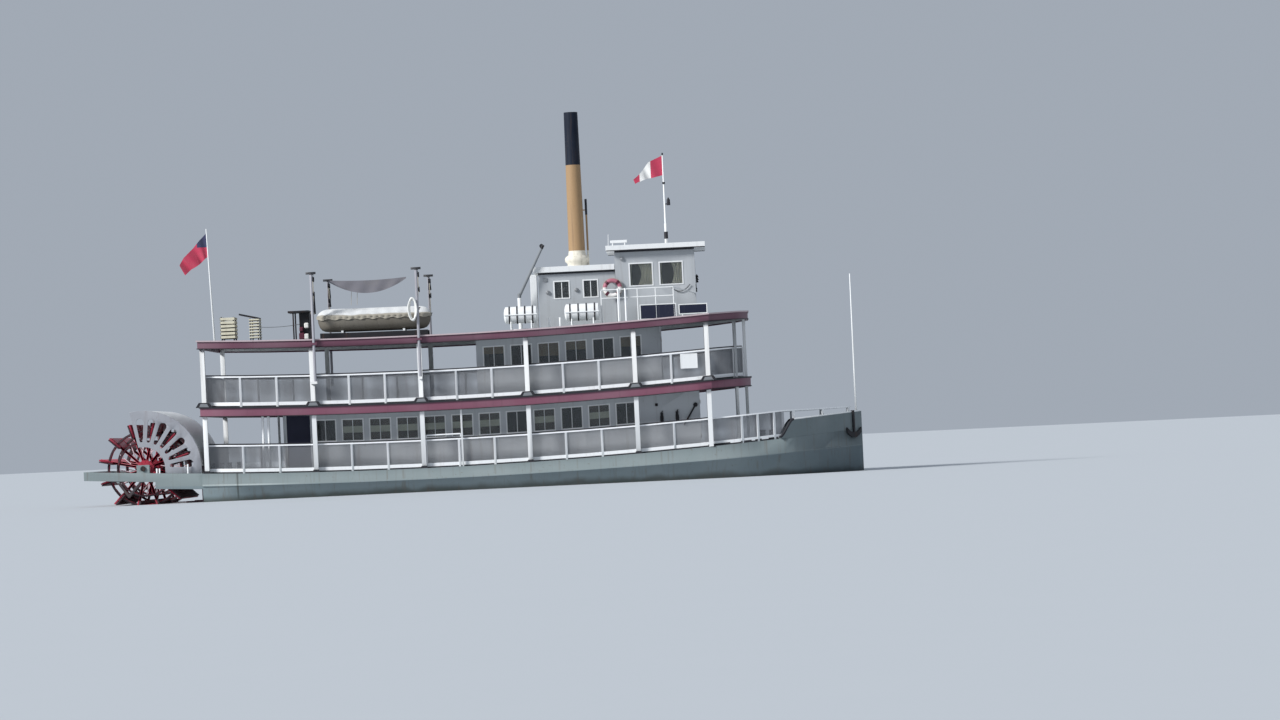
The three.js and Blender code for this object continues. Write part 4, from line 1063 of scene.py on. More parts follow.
# %% A row of windows in each side of both cabins
WINDOW = {"low": 1.08, "high": 1.85, "width": 0.75, "pitch": 0.98}
WALL_FACE = 2.6
FIRST_WINDOW = {"main": -5.31, "upper": 0.83}
window_height = WINDOW["high"] - WINDOW["low"]
window_middle = (WINDOW["high"] + WINDOW["low"]) / 2
for name, count, deck in (("main", 12, MAIN_DECK), ("upper", 6, UPPER_DECK)):
    casing, pane = casement(WINDOW["width"], window_height, 0.025, -0.01)
    for obj, kind, finish in (
        (casing, "window_frames", "white_paint"),
        (pane, "window_panes", "window_glass"),
    ):
        row(obj, (WINDOW["pitch"], 0, 0), count)
        moved(obj, (FIRST_WINDOW[name], WALL / 2 - WALL_FACE, deck + window_middle))
        on_both_sides([obj], name + "_cabin_" + kind, finish, "white_paint")
    print(name, "cabin:", 2 * count, "windows")

# %% Hang the blinds
BLIND_WIDTH = 0.74
BLIND_Y = 2.515
BLIND_THICK = 0.0015
ROLLER = 0.022
BLINDS = {
    "main": [(k, 0.74) for k in (1, 2, 3, 4, 5, 6, 8, 10)],
    "upper": [(0, 0.3), (2, 0.5), (3, 0.35), (5, 0.4)],
}


def blind(drop):
    """A roller blind's cloth, with the slight roll that it keeps at its foot."""

    def place(across, down):
        x = (across - 0.5) * BLIND_WIDTH
        return x, 0.006 * math.sin(x * 9) * down, (0.5 - down) * drop

    return draped(6, 12, BLIND_THICK, place)


for name, deck, kind in (("main", MAIN_DECK, "banded_blind"), ("upper", UPPER_DECK, "blind_cloth")):
    sheets, rolls = [], []
    for k, drop in BLINDS[name]:
        spot = FIRST_WINDOW[name] + k * WINDOW["pitch"]
        top = deck + WINDOW["high"] + 0.03 + sheer(spot)
        for side in SIDES:
            sheets.append(moved(blind(drop), (spot, side * BLIND_Y, top - drop / 2)))
            rolls.append(rod(*[(spot + dx, side * BLIND_Y, top + 0.01) for dx in (-0.38, 0.38)], ROLLER))
    cloths = fitted(sheets, name + "_cabin_blinds", kind, "canvas")
    length = 2 * sum(drop for _, drop in BLINDS[name])
    fitted(rolls, name + "_cabin_blind_rollers", "steel", "white_paint")
    print(name, "cabin:", len(sheets), "blinds")

# %% Panel the rooms
# Behind the panes the rooms are painted dark as their shade: each has two long partitions, and near-black
# boards line its ceiling and its floor.
ROOM_HALF = 2.5
PARTITIONS = (-1.5, 1.5)
for name, x0, x1, deck, ceiling in (
    ("main_cabin", -6.7, 8.0, MAIN_DECK, UPPER_DECK),
    ("upper_cabin", 0.3, 6.7, UPPER_DECK, ROOF_DECK),
):
    top = ceiling - DECK_THICK - 0.03
    aft, fore, foot = x0 + 0.3, x1 - 0.3, deck + 0.004
    inner = [block((aft, y - 0.02, foot), (fore, y + 0.02, top), 0.004) for y in PARTITIONS]
    inner.append(block((x0, -ROOM_HALF, top), (x1, ROOM_HALF, top + 0.02), 0.004))
    inner.append(block((x0, -ROOM_HALF, foot), (x1, ROOM_HALF, deck + 0.016), 0.002))
    piece(sheered(join(*inner)), name + "_panelling", "dark_panelling", slot="white_paint")
    print(name, "is panelled")

# %% Fit the side doors and the gangway gate
# Aft of the windows a door stands in each side of the main cabin, its leaf painted near black as the
# shade of the doorway, and the gap in the rail abreast of it is shut by a gate of two bars.
DOOR = {"x": -6.27, "width": 0.84, "foot": 0.03, "head": 2.03}
middle = MAIN_DECK + (DOOR["foot"] + DOOR["head"]) / 2
height = DOOR["head"] - DOOR["foot"]
leaf = moved(face_box(DOOR["width"], height, 0.03), (DOOR["x"], -2.612, middle))
case = moved(ring(DOOR["width"] + 0.1, height + 0.06, 0.05, 0.05), (DOOR["x"], -2.615, middle + 0.01))
on_both_sides([leaf], "side_doors", "door_dark", "black_iron")
on_both_sides([case], "side_door_cases", "cabin_paint", "white_paint")

GATE, GATE_Y = (-1.68, -0.46), -3.215
GATE_BARS, GATE_HINGES = (0.12, 1.16), (-1.4, -1.07, -0.74)
gate = [rod(*[(x, GATE_Y, MAIN_DECK + lift) for x in GATE], 0.028) for lift in GATE_BARS]
gate += [upright(x, GATE_Y, MAIN_DECK + 0.09, MAIN_DECK + 1.18, 0.02) for x in GATE]
gate += [post(x, GATE_Y, MAIN_DECK + 0.07, MAIN_DECK + 0.17, (0.05, 0.025), 0.01) for x in GATE_HINGES]
on_both_sides(gate, "gangway_gates", "rail_paint", "white_paint")
poles = [upright(x, -3.0, MAIN_DECK, UPPER_DECK - DECK_THICK, 0.045) for x in (-7.5, -7.3)]
on_both_sides(poles, "aft_deck_poles", "rail_paint", "white_paint")
print("two side doors, two gates and", 2 * len(poles), "poles")

# %% [markdown]
# ## The paddle wheel
#
# A stern wheel is timber and iron: spiders of arms bolted to round flanges, iron rims that hold the arms
# apart, and long floats of plank that push the water. One row of arms with its float planks is modelled
# pointing away from the shaft, and then copied round it. It all rides on the body that turns.

# %% One arm, then twelve
FLOATS = 12
FIRST_ARM = math.radians(17)
SPIDERS = (-2.5, 0.0, 2.5)
HALF_WHEEL = 2.85
ARM_FROM, ARM_TO, ARM_HALF = 0.2, 1.62, (0.035, 0.04)
BOLTS = (0.32, 0.97, 1.33)
PLANKS, PLANK_WIDTH, PLANK_THICK = (1.174, 1.338, 1.502), 0.15, 0.04


def round_wheel(parts, name, finish):
    """Parts that point along +X from the shaft, joined, copied round the shaft and finished."""
    one = join(*parts)
    made = []
    for angle in angles(FLOATS, FIRST_ARM):
        made.append(twin(one))
        made[-1].data.transform(Matrix.Translation(HUB) @ Matrix.Rotation(-angle, 4, "Y"))
    bpy.data.objects.remove(one)
    fitted(made, name, finish, "crimson_paint", "wheel")
    print(name, "are set round the shaft", FLOATS, "times")


arms = [
    block((ARM_FROM, y - ARM_HALF[0], -ARM_HALF[1]), (ARM_TO, y + ARM_HALF[0], ARM_HALF[1]), 0.01)
    for y in SPIDERS
]
arms += [rod((r, y - 0.06, 0), (r, y + 0.06, 0), 0.018, sides=6) for y in SPIDERS for r in BOLTS]
round_wheel(arms, "wheel_arms", "crimson_paint")
planks = [
    block((r, -HALF_WHEEL, 0.042), (r + PLANK_WIDTH, HALF_WHEEL, 0.042 + PLANK_THICK), 0.006)
    for r in PLANKS
]
round_wheel(planks, "wheel_floats", "dark_plank")
braces = [block((0.5, y - 0.02, 0.2), (1.02, y + 0.02, 0.235), 0.006) for y in SPIDERS]
round_wheel(braces, "wheel_braces", "brace_paint")

# %% Hubs and rims
RIMS = ((1.363, 0.065), (1.01, 0.055))
RIM_APART, RIM_THICK = 0.045, 0.018
FLANGE, SLEEVE = (0.3, 0.1, 0.16, 48), (0.2, 0.1, 0.3, 32)
HUB_BOLTS = 0.25


def wheel_ring(y, outer, inner, thick, sides=72):
    """A flat iron ring: a drum whose two ends are inset and bridged through."""
    obj = drum(outer, thick, sides, rotation=(math.pi / 2, 0, 0))
    edit_faces(obj, 1)
    bpy.ops.mesh.inset(thickness=(outer - inner) * math.cos(math.pi / sides), use_individual=True)
    bpy.ops.mesh.bridge_edge_loops()
    leave()
    return moved(obj, (HUB.x, y, HUB.z))


rims = [
    wheel_ring(y + dy, outer, outer - width, RIM_THICK)
    for y in SPIDERS
    for outer, width in RIMS
    for dy in (-RIM_APART, RIM_APART)
]
fitted(rims, "wheel_rims", "dark_plank", "crimson_paint", "wheel")
hubs = []
for y in SPIDERS:
    hubs += [wheel_ring(y, *FLANGE), wheel_ring(y, *SLEEVE)]
    for angle in angles(FLOATS, FIRST_ARM + math.pi / FLOATS):
        spot = HUB + Vector((HUB_BOLTS * math.cos(angle), y, HUB_BOLTS * math.sin(angle)))
        hubs.append(rod(spot - Vector((0, 0.1, 0)), spot + Vector((0, 0.1, 0)), 0.02, sides=6))
hub_piece = fitted(hubs, "wheel_hubs", "crimson_paint", "crimson_paint", "wheel")
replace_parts(hub_piece, "paddle_wheel")
print("the wheel is", round(2 * (PLANKS[-1] + PLANK_WIDTH), 2), "m across its floats")

# %% [markdown]
# ## Ship's boat and its cover
#
# The lifeboat is a double-ender. Its hull is the lower half of a ball, drawn out to the boat's length and
# squared in section, so it stays fair without any seam. The cover is cloth over a ridge pole, drawn down
# to the gunwale, so it is a grid that is given the ridge, the sag between the lashings and small folds.

# %% Shape the hull
BOAT_AFT, BOAT_FORE, BOAT_Y, BOAT_HALF = -5.4, -1.35, -2.7, 0.62
BOAT_MIDDLE, BOAT_LENGTH = (BOAT_AFT + BOAT_FORE) / 2, BOAT_FORE - BOAT_AFT
KEEL, GUNWALE = WATER + 5.79, WATER + 6.33
SECTION, SECTION_DEEP, ENDS = 0.8, 0.6, 18


def boat_width(t):
    return BOAT_HALF * math.sqrt(max(0.0, 1 - abs(t) ** 5))


def boat_x(t, longer=0.0):
    return BOAT_MIDDLE + t * (BOAT_LENGTH + longer) / 2


bpy.ops.mesh.primitive_uv_sphere_add(segments=40, ring_count=24, radius=1, location=(0, 0, 0))
boat = bpy.context.active_object
edit(boat)
bpy.ops.mesh.bisect(plane_co=(0, 0, 0), plane_no=(0, 0, 1), clear_outer=True)
leave()
for v in boat.data.vertices:
    t = v.co.x
    wide = math.hypot(v.co.y, v.co.z)
    side, deep = (v.co.y / wide, -v.co.z / wide) if wide > 1e-6 else (0, 0)
    sweep = (1 - abs(t) ** ENDS) ** 0.5 if abs(t) < 1 else 0
    v.co.x = boat_x(t)
    v.co.y = BOAT_Y + boat_width(t) * math.copysign(abs(side) ** SECTION, side)
    v.co.z = GUNWALE + sheer(v.co.x) - (GUNWALE - KEEL - 0.02) * deep**SECTION_DEEP * sweep
apply(boat, "SOLIDIFY", thickness=0.025, offset=-1)
boat_hull = piece(boat, "lifeboat_hull", "olive_paint", smooth=math.radians(50))
rim_path = []
for angle in angles(48):
    t = math.cos(angle)
    y = BOAT_Y + math.copysign(boat_width(t), math.sin(angle))
    rim_path.append((boat_x(t), y, GUNWALE + sheer(boat_x(t)) - 0.02))
piece(pipe(rim_path, 0.028, closed=True), "lifeboat_gunwale", "olive_paint")
chocks = []
for x in (-4.5, -2.3):
    base = on_roof(x)
    chocks += [post(x, BOAT_Y + side * 0.33, base, base + 0.28, (0.04, 0.13), 0.006) for side in SIDES]
    chocks.append(post(x, BOAT_Y, base, base + 0.07, (0.05, 0.46), 0.006))
fitted(chocks, "lifeboat_chocks", "white_paint")
bearer_half = (BOAT_LENGTH / 2 - 0.1, 0.05)
bearers = [post(BOAT_MIDDLE, y, ROOF_DECK, ROOF_DECK + 0.2, bearer_half, 0.01) for y in (-2.2, -3.12)]
piece(sheered(join(*bearers)), "lifeboat_bearers", "black_iron")
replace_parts(boat_hull, "lifeboat")
print("the boat is", round(BOAT_LENGTH, 2), "m long")

# %% Drape the cover
LASHINGS = 9
RIDGE, CLOTH_RISE = 0.25, 0.03
TOP_SHARE = 0.78


def cover_place(across, down):
    t, s = 2 * across - 1, 1 - 2 * down
    half = boat_width(t * 0.985) + 0.025
    x = boat_x(t, 0.04)
    fold = 0.5 + 0.5 * math.cos(t * math.pi * LASHINGS)
    ridge = RIDGE * (1 - abs(t) ** 14) + CLOTH_RISE
    over = abs(s) / TOP_SHARE
    if over <= 1:
        y, z = s / TOP_SHARE * half, ridge * (1 - over**1.35)
        z -= 0.02 * math.sin(math.pi * over) * (1 - fold)
    else:
        y = math.copysign(half + 0.012 * math.sin(t * 60), s)
        z = -(abs(s) - TOP_SHARE) / (1 - TOP_SHARE) * (0.09 + 0.05 * fold)
    return x, BOAT_Y + y, GUNWALE + sheer(x) + CLOTH_RISE + z


cover = draped(120, 36, 0.004, cover_place, offset=1)
piece(cover, "lifeboat_canvas", "cover_canvas", slot="canvas", smooth=math.radians(60))
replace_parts(cover, "lifeboat_cover")

# %% [markdown]
# ## Flags
#
# A flag in a light breeze hangs in folds that grow from the staff. Each is a fine grid laid between its
# upper and its lower edge, and its columns are shifted sideways by a wave.


# %% Fly the flags
def on_edge(points, t):
    """A point a share t along a row of points, counted by its own runs."""
    place = min(t * (len(points) - 1), len(points) - 1.001)
    k = int(place)
    return Vector(points[k]).lerp(Vector(points[k + 1]), place - k)


def fly(node_name, name, finish, top, foot, folds, swing):
    """Cloth between its upper and its lower edge, each a row of x and height, from the staff to the fly."""

    def place(across, down):
        away = 1 - across
        spot = on_edge(top, away).lerp(on_edge(foot, away), down)
        wave = swing * away**0.7 * math.sin(folds * math.tau * away + 1.6 * down)
        return spot.x, wave, WATER + spot.y + 0.3 * wave * away

    obj = faced_out(draped(72, 24, 0.002, place))
    piece(obj, name, finish, slot="flag_cloth", smooth=math.radians(80))
    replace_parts(obj, node_name)


fly(
    "mast_flag",
    "mast_bunting_flag",
    "mast_bunting",
    [(7.132, 11.76), (6.635, 11.545), (6.42, 11.255), (6.066, 10.92)],
    [(7.132, 11.05), (6.766, 10.97), (6.475, 10.93), (6.13, 10.775)],
    folds=2.2,
    swing=0.07,
)
fly(
    "ensign",
    "ensign_bunting_flag",
    "ensign_bunting",
    [(-9.556, 9.72), (-9.8, 9.48), (-10.07, 9.18), (-10.4, 8.88), (-10.56, 8.62)],
    [(-9.533, 8.87), (-9.67, 8.76), (-9.82, 8.62), (-10.14, 8.43), (-10.37, 8.26)],
    folds=2.6,
    swing=0.09,
)

# %% [markdown]
# ## Life rafts
#
# A raft is packed in a round canister of moulded plastic, two half shells with a flange between them,
# held down by dark bands on a cradle. The shell is a cylinder whose ends are inset and pushed out to a
# low dome.

# %% Pack the rafts
LYING = (0, math.pi / 2, 0)
RAFT_Y, RAFT_Z, RAFT_R = -2.5, WATER + 6.15, 0.3
RAFT_BANDS, BAND_R, BAND_WIDTH = 4, 0.318, 0.045
DOME = ((0.03, 0.0), (0.06, 0.03), (0.1, 0.02))


def canister(x0, x1):
    obj = drum(RAFT_R, x1 - x0, 40, ((x0 + x1) / 2, RAFT_Y, RAFT_Z), LYING)
    edit_faces(obj, 0)
    for step, rise in DOME:
        bpy.ops.mesh.inset(thickness=step, depth=rise, use_individual=True)
    leave()
    return eased(obj, 0.03, 4, 60)


for name, x0, x1 in (("aft", 1.25, 2.48), ("fore", 3.42, 4.7)):
    shell = canister(x0 + 0.05, x1 - 0.05)
    flange_half = ((x1 - x0) / 2 - 0.02, RAFT_R + 0.025)
    flange = post((x0 + x1) / 2, RAFT_Y, RAFT_Z - 0.02, RAFT_Z + 0.02, flange_half, 0.01)
    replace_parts(fitted([shell, flange], "raft_canister_" + name, "raft_plastic"), "life_raft_" + name)
    bands = []
    for t in shares(RAFT_BANDS - 1):
        band = drum(BAND_R, BAND_WIDTH, 40, (x0 + 0.2 + t * (x1 - x0 - 0.4), RAFT_Y, RAFT_Z), LYING)
        bands.append(eased(band, 0.006, 2))
    fitted(bands, "raft_bands_" + name, "black_iron")
    cradle = []
    for x in (x0 + 0.25, x1 - 0.25):
        base = on_roof(x)
        cradle.append(post(x, RAFT_Y, base, base + 0.06, (0.03, 0.3), 0.005))
        for side in SIDES:
            foot, knee = RAFT_Y + side * 0.27, RAFT_Y + side * 0.2
            cradle.append(rod((x, foot, base), (x, knee, RAFT_Z - 0.22), 0.025, sides=8))
            cradle.append(rod((x, knee, RAFT_Z - 0.235), (x, RAFT_Y, RAFT_Z - 0.31), 0.025, sides=8))
    fitted(cradle, "raft_cradle_" + name, "white_paint")
    print("the", name, "raft is", round(x1 - x0, 2), "m long")

# %% [markdown]
# ## The canvas between the far davits
#
# A grey canvas is slung between the two port davits and sags in a swag. It is a grid whose head and foot
# follow two curves, with folds that run down from its head.

# %% Sling the canvas
awning_low, awning_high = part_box("awning")
SWAG_FORE = -2.56
SWAG_SAG, SWAG_ENDS, SWAG_DROP = 0.06, 0.05, 0.42


def swag_place(across, down):
    t = 2 * across - 1
    bow = 1 - t * t
    x = awning_low.x + 0.01 + across * (SWAG_FORE - awning_low.x - 0.01)
    head = awning_high.z - 0.01 - SWAG_SAG * bow
    fold = 0.012 * math.sin(t * 14 + down * 2) * (0.35 + 0.65 * down) * min(1, 3 * bow)
    return x, (awning_low.y + awning_high.y) / 2 + fold, head - (SWAG_ENDS + SWAG_DROP * bow) * down


swag = draped(90, 20, 0.003, swag_place)
piece(swag, "davit_canvas", "grey_canvas", smooth=math.radians(80))
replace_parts(swag, "awning")

# %% [markdown]
# ## Texas cabin and pilothouse windows
#
# These deckhouses stand level, so their windows are modelled at their place without the sheer. The
# pilothouse keeps pale curtains, drawn to the sides. A gathered curtain is a grid whose columns run in
# and out like an organ's pipes.


# %% Glaze the deckhouses
QUARTER = math.pi / 2
TEXAS_WINDOWS = {"y": 1.47, "z": WATER + 7.01, "height": 0.62}
PILOT_WINDOWS = {"y": 1.62, "z": WATER + 7.425, "height": 0.81, "width": 0.83}
PILOT_FRONT = {"x": 8.12, "width": 0.8}
PILOT_SIDES = [(6.21, -1), (7.29, -1), (7.29, 1)]


def glaze(name, holes, height, bar):
    """Frames and panes for upright holes: rows of place, width and turn about Z."""
    frames, panes = [], []
    for place, width, angle in holes:
        casing, pane = casement(width, height, bar)
        frames.append(moved(casing, place, angle))
        panes.append(moved(pane, place, angle))
    fitted(frames, name + "_window_frames", "white_paint")
    fitted(panes, name + "_window_panes", "window_glass", "white_paint")
    print(name, "has", len(holes), "windows")


y, z = TEXAS_WINDOWS["y"], TEXAS_WINDOWS["z"]
texas_holes = [((x, side * y, z), width, 0) for side in SIDES for x, width in ((3.33, 0.55), (4.37, 0.52))]
glaze("texas", texas_holes, TEXAS_WINDOWS["height"], 0.028)
y, z = PILOT_WINDOWS["y"], PILOT_WINDOWS["z"]
pilot_holes = [((x, side * y, z), PILOT_WINDOWS["width"], 0) for x, side in PILOT_SIDES]
pilot_holes += [((PILOT_FRONT["x"], y, z), PILOT_FRONT["width"], QUARTER) for y in (-1, 0, 1)]
glaze("pilothouse", pilot_holes, PILOT_WINDOWS["height"], 0)

# %% Draw the curtains
CURTAIN_DROP, CURTAIN_Y, CURTAIN_TOP = 0.82, 1.54, WATER + 7.86
CURTAIN_RAIL, RAIL_ENDS = 0.01, (-0.47, 0.47)
FOLDS_A_METRE = 14
AFT_SIDE, FORE_SIDE_WIDE, FORE_SIDE_NARROW = 0.12, 0.56, 0.44


def curtain(width, hand):
    """A gathered curtain that hangs from its outer edge towards the other hand."""
    folds = round(width * FOLDS_A_METRE)

    def place(across, down):
        narrow = 1 - 0.25 * math.sin(math.pi * down)
        wave = 0.02 * math.sin(across * folds * math.tau)
        return -hand * across * width * narrow, wave, -down * CURTAIN_DROP

    made = draped(folds * 8, 6, BLIND_THICK, place)
    return faced_out(made) if hand > 0 else made


drapes = []
for x, side in PILOT_SIDES:
    for hand, width in ((-1, AFT_SIDE), (1, FORE_SIDE_WIDE if x < 7 else FORE_SIDE_NARROW)):
        drapes.append(moved(curtain(width, hand), (x + hand * 0.43, side * CURTAIN_Y, CURTAIN_TOP)))
curtains = fitted(drapes, "pilothouse_curtains", "curtain_cloth", "canvas", smooth=math.radians(70))
rails = []
for x, side in PILOT_SIDES:
    rails.append(rod(*[(x + dx, side * CURTAIN_Y, CURTAIN_TOP + 0.01) for dx in RAIL_ENDS], CURTAIN_RAIL))
hooks = [
    post(x + dx, side * 1.565, CURTAIN_TOP, CURTAIN_TOP + 0.03, (0.01, 0.035), 0.008)
    for x, side in PILOT_SIDES
    for dx in (-0.44, 0.44)
]
fitted([*rails, *hooks], "pilothouse_curtain_rails", "steel", "white_paint")
print(len(drapes), "curtains on", len(rails), "rails")

# %% [markdown]
# ## Fittings on the walls and on the roof
#
# Lamps, horns, life rings, boards and hand rails are small, but they are what makes a boat look used.
# Each is built from a few turned or squared pieces and set against the wall or the roof that carries it.


# %% Wall lamps and the horns
# A lamp's base, glass and guard: where each begins and ends off the wall, its two radii and its easing.
LAMP_PIECES = (
    (0.0, 0.03, 0.075, None, 0.008),
    (0.025, 0.08, 0.05, 0.035, 0.012),
    (0.05, 0.06, 0.065, None, 0.004),
)
LAMPS = ((2.83, 1.5, 6.93), (3.86, 1.5, 6.98), (5.55, 1.65, 8.01))
HORN_X, HORN_FOOT = 8.15, WATER + 6.84
HORNS = ((0.0, 0.43), (0.14, 0.34))


def wall_lamp(x, y, z, side):
    """A bulkhead lamp: a round base, a glass and a guard."""
    return [
        rod((x, y + side * near, z), (x, y + side * far, z), radius, tip, 20, bevel)
        for near, far, radius, tip, bevel in LAMP_PIECES
    ]


lamps = []
for x, half, z in LAMPS:
    for side in SIDES:
        lamps += wall_lamp(x, side * (half - 0.002), WATER + z, side)
fitted(lamps, "wall_lamps", "steel")
horn = []
for y in (-1.2, 1.2):
    for dy, length in HORNS:
        foot = Vector((HORN_X, y + dy, HORN_FOOT))
        mouth = foot + Vector((0.09, 0, length + 0.03))
        horn.append(rod(foot, foot + Vector((0, 0, length)), 0.028))
        horn.append(rod(foot + Vector((0, 0, length - 0.02)), mouth, 0.03, 0.07, 16))
    horn.append(block((8.145, y - 0.06, HORN_FOOT - 0.04), (8.2, y + 0.2, HORN_FOOT + 0.02)))
fitted(horn, "pilothouse_horns", "black_iron")
print(2 * len(LAMPS), "lamps and", 2 * len(HORNS), "horns")

# %% The life rings
RING_R, RING_THICK, RING_FLAT = 0.27, 0.075, 0.75
RING_ROPE_R = 0.36
RING_BAND_R, RING_BAND_WIDTH, RING_BAND_FLAT = 0.081, 0.1, 0.76
RING_SPOTS = ((5.16, -1), (4.92, 1))
RING_Y = 1.75


def round_ring(angle, radius):
    """A point on a circle about the origin that stands along Y."""
    return radius * math.cos(angle), 0, radius * math.sin(angle)


def flattened(obj, share):
    obj.data.transform(Matrix.Diagonal((1, share, 1, 1)))
    return obj


bpy.ops.mesh.primitive_torus_add(
    major_radius=RING_R,
    minor_radius=RING_THICK,
    major_segments=48,
    minor_segments=16,
    rotation=(QUARTER, 0, 0),
)
buoy = bpy.context.active_object
bpy.ops.object.transform_apply()
flattened(buoy, RING_FLAT)
bands = []
for angle in angles(4, math.pi / 4):
    band = drum(RING_BAND_R, RING_BAND_WIDTH, 20, round_ring(angle, RING_R), (0, -angle, 0))
    bands.append(flattened(band, RING_BAND_FLAT))
grab = pipe([round_ring(angle, RING_ROPE_R) for angle in angles(32)], 0.008, closed=True)
for obj, name, finish, slot in (
    (buoy, "life_ring", "ring_paint", "raft_plastic"),
    (join(*bands), "life_ring_bands", "dark_red", "flag_cloth"),
    (grab, "life_ring_rope", "rope", "canvas"),
):
    both_rings = [obj, twin(obj)]
    for one, (x, side) in zip(both_rings, RING_SPOTS):
        moved(one, (x, side * RING_Y, RING_Z))
    fitted(both_rings, name, finish, slot)
brackets = [post(x, side * 1.625, RING_Z + 0.2, RING_Z + 0.23, (0.02, 0.135)) for x, side in RING_SPOTS]
fitted(brackets, "life_ring_brackets", "steel", "white_paint")
print(len(RING_SPOTS), "life rings")

# %% Boards and rails round the pilothouse
BOARD_Y = 2.35
BLANK_BOARDS = ((6.14, 7.39, WATER + 5.8, WATER + 6.29), (7.53, 8.5, WATER + 5.93, WATER + 6.24))
boards, trims = [], []
for x0, x1, z0, z1 in BLANK_BOARDS:
    for y in (-BOARD_Y, BOARD_Y):
        boards.append(block((x0, y - 0.02, z0), (x1, y + 0.02, z1), 0.004))
        trim_ring = ring(x1 - x0 + 0.06, z1 - z0 + 0.06, 0.035, 0.055)
        trims.append(moved(trim_ring, ((x0 + x1) / 2, y, (z0 + z1) / 2)))
        trims += [post(x, y, on_roof(x), z0 + 0.01, (0.025, 0.02)) for x in (x0 + 0.1, x1 - 0.1)]
fitted(boards, "pilothouse_blank_boards", "dark_board", "black_iron")
fitted(trims, "pilothouse_board_frames", "white_paint")

# The port rail is shorter, so the pilothouse door can swing out past its end.
HAND_RAIL = {-1: [4.75, 5.4, 6.05, 6.7, 7.34], 1: [6.72, 7.34]}
RAIL_HEIGHTS = (WATER + 6.9, WATER + 6.6)
RAIL_R = 0.022
hand_rail = []
for side, spots in HAND_RAIL.items():
    y = side * BOARD_Y
    aft, fore = spots[0], spots[-1]
    for x in spots:
        base = on_roof(x)
        hand_rail.append(upright(x, y, base, RAIL_HEIGHTS[0] - 0.02, RAIL_R, sides=10))
        hand_rail.append(upright(x, y, base, base + 0.02, 0.05))
    hand_rail += [rod((aft, y, z), (fore, y, z), RAIL_R, sides=10) for z in RAIL_HEIGHTS]
    hand_rail.append(rod((fore, y, RAIL_HEIGHTS[0]), (8.13, side * 1.62, WATER + 6.66), 0.018, sides=10))
fitted(hand_rail, "roof_hand_rails", "white_paint")
print(len(boards), "boards, and hand rails on", sum(len(spots) for spots in HAND_RAIL.values()), "posts")


# %% The roof's aft furniture
def legs(xs, ys, size, rise, bevel=0.004, level_at=None):
    """Square legs up to a height over the roof, each at its own x or all at one."""
    made = []
    for x in xs:
        top = on_roof(x if level_at is None else level_at, rise)
        made += [block((x, y, on_roof(x)), (x + size, y + size, top), bevel) for y in ys]
    return made


SLAT = 0.02
x0, x1, y0, y1 = -8.9, -8.36, -2.7, -1.9
BIN_MIDDLE, BIN_SLATS, BIN_PITCH, SLAT_HEIGHT = -8.6, 6, 0.13, 0.09
bin_sides = (
    (x0, x1, y0, y0 + SLAT),
    (x0, x1, y1 - SLAT, y1),
    (x0, x0 + SLAT, y0, y1),
    (x1 - SLAT, x1, y0, y1),
)
slats = []
for k in range(BIN_SLATS):
    z = on_roof(BIN_MIDDLE, 0.1 + k * BIN_PITCH)
    for aft, fore, near, far in bin_sides:
        slats.append(block((aft, near, z), (fore, far, z + SLAT_HEIGHT), 0.004))
dark = legs((x0 + 0.03, x1 - 0.08), (y0 + 0.02, y1 - 0.07), 0.05, 0.86)
low, high = on_roof(BIN_MIDDLE, 0.08), on_roof(BIN_MIDDLE, 0.6)
dark.append(block((x0 + 0.03, y0 + 0.03, low), (x1 - 0.03, y1 - 0.03, high), 0.01))

RACK_MIDDLE, RACK_AFT, RACK_FORE = -7.8, -7.86, -7.5
RACK_Y = (-2.75, -1.85)
RACK_SLATS, RACK_PITCH, LID_SLOPE = 7, 0.105, 0.24
for k in range(RACK_SLATS):
    z = on_roof(RACK_MIDDLE, 0.1 + k * RACK_PITCH)
    slats.append(block((RACK_AFT, RACK_Y[0], z), (RACK_FORE, RACK_Y[1], z + 0.05), 0.004))
dark += legs((-7.84, -7.56), (-2.72, -1.93), 0.04, 0.8)
lid = block((-0.36, RACK_Y[0], -0.03), (0.36, RACK_Y[1], 0.03), 0.006)
lid.data.transform(Matrix.Rotation(LID_SLOPE, 4, "Y"))
moved(lid, (RACK_AFT, 0, on_roof(RACK_MIDDLE, 0.88)))
dark.append(lid)
fitted(slats, "roof_slatted_bins", "cream_slats", "white_paint")
fitted(dark, "roof_bin_frames", "black_iron")

TABLE_X = -6
table = [block((-6.46, -2.75, on_roof(TABLE_X, 0.98)), (-5.7, -1.75, on_roof(TABLE_X, 1.05)))]
table += legs((-6.3, -5.68), (-2.7, -1.84), 0.05, 1.005, 0.005, TABLE_X)
table.append(block((-6.08, -2.5, on_roof(TABLE_X, 0.02)), (-5.72, -1.9, on_roof(TABLE_X, 0.985)), 0.01))
fitted(table, "roof_table", "black_iron")
GUARD_FROM, GUARD_RUN = Vector((-7.52, -2.7, on_roof(-7, 0.5))), Vector((1.44, 0.2, 0.04))
GUARD_SAG = 0.16
guard = [GUARD_FROM + GUARD_RUN * t - Vector((0, 0, GUARD_SAG * t * (1 - t))) for t in shares(12)]
piece(pipe(guard, 0.012), "roof_guard_wire", "steel", slot="white_paint")
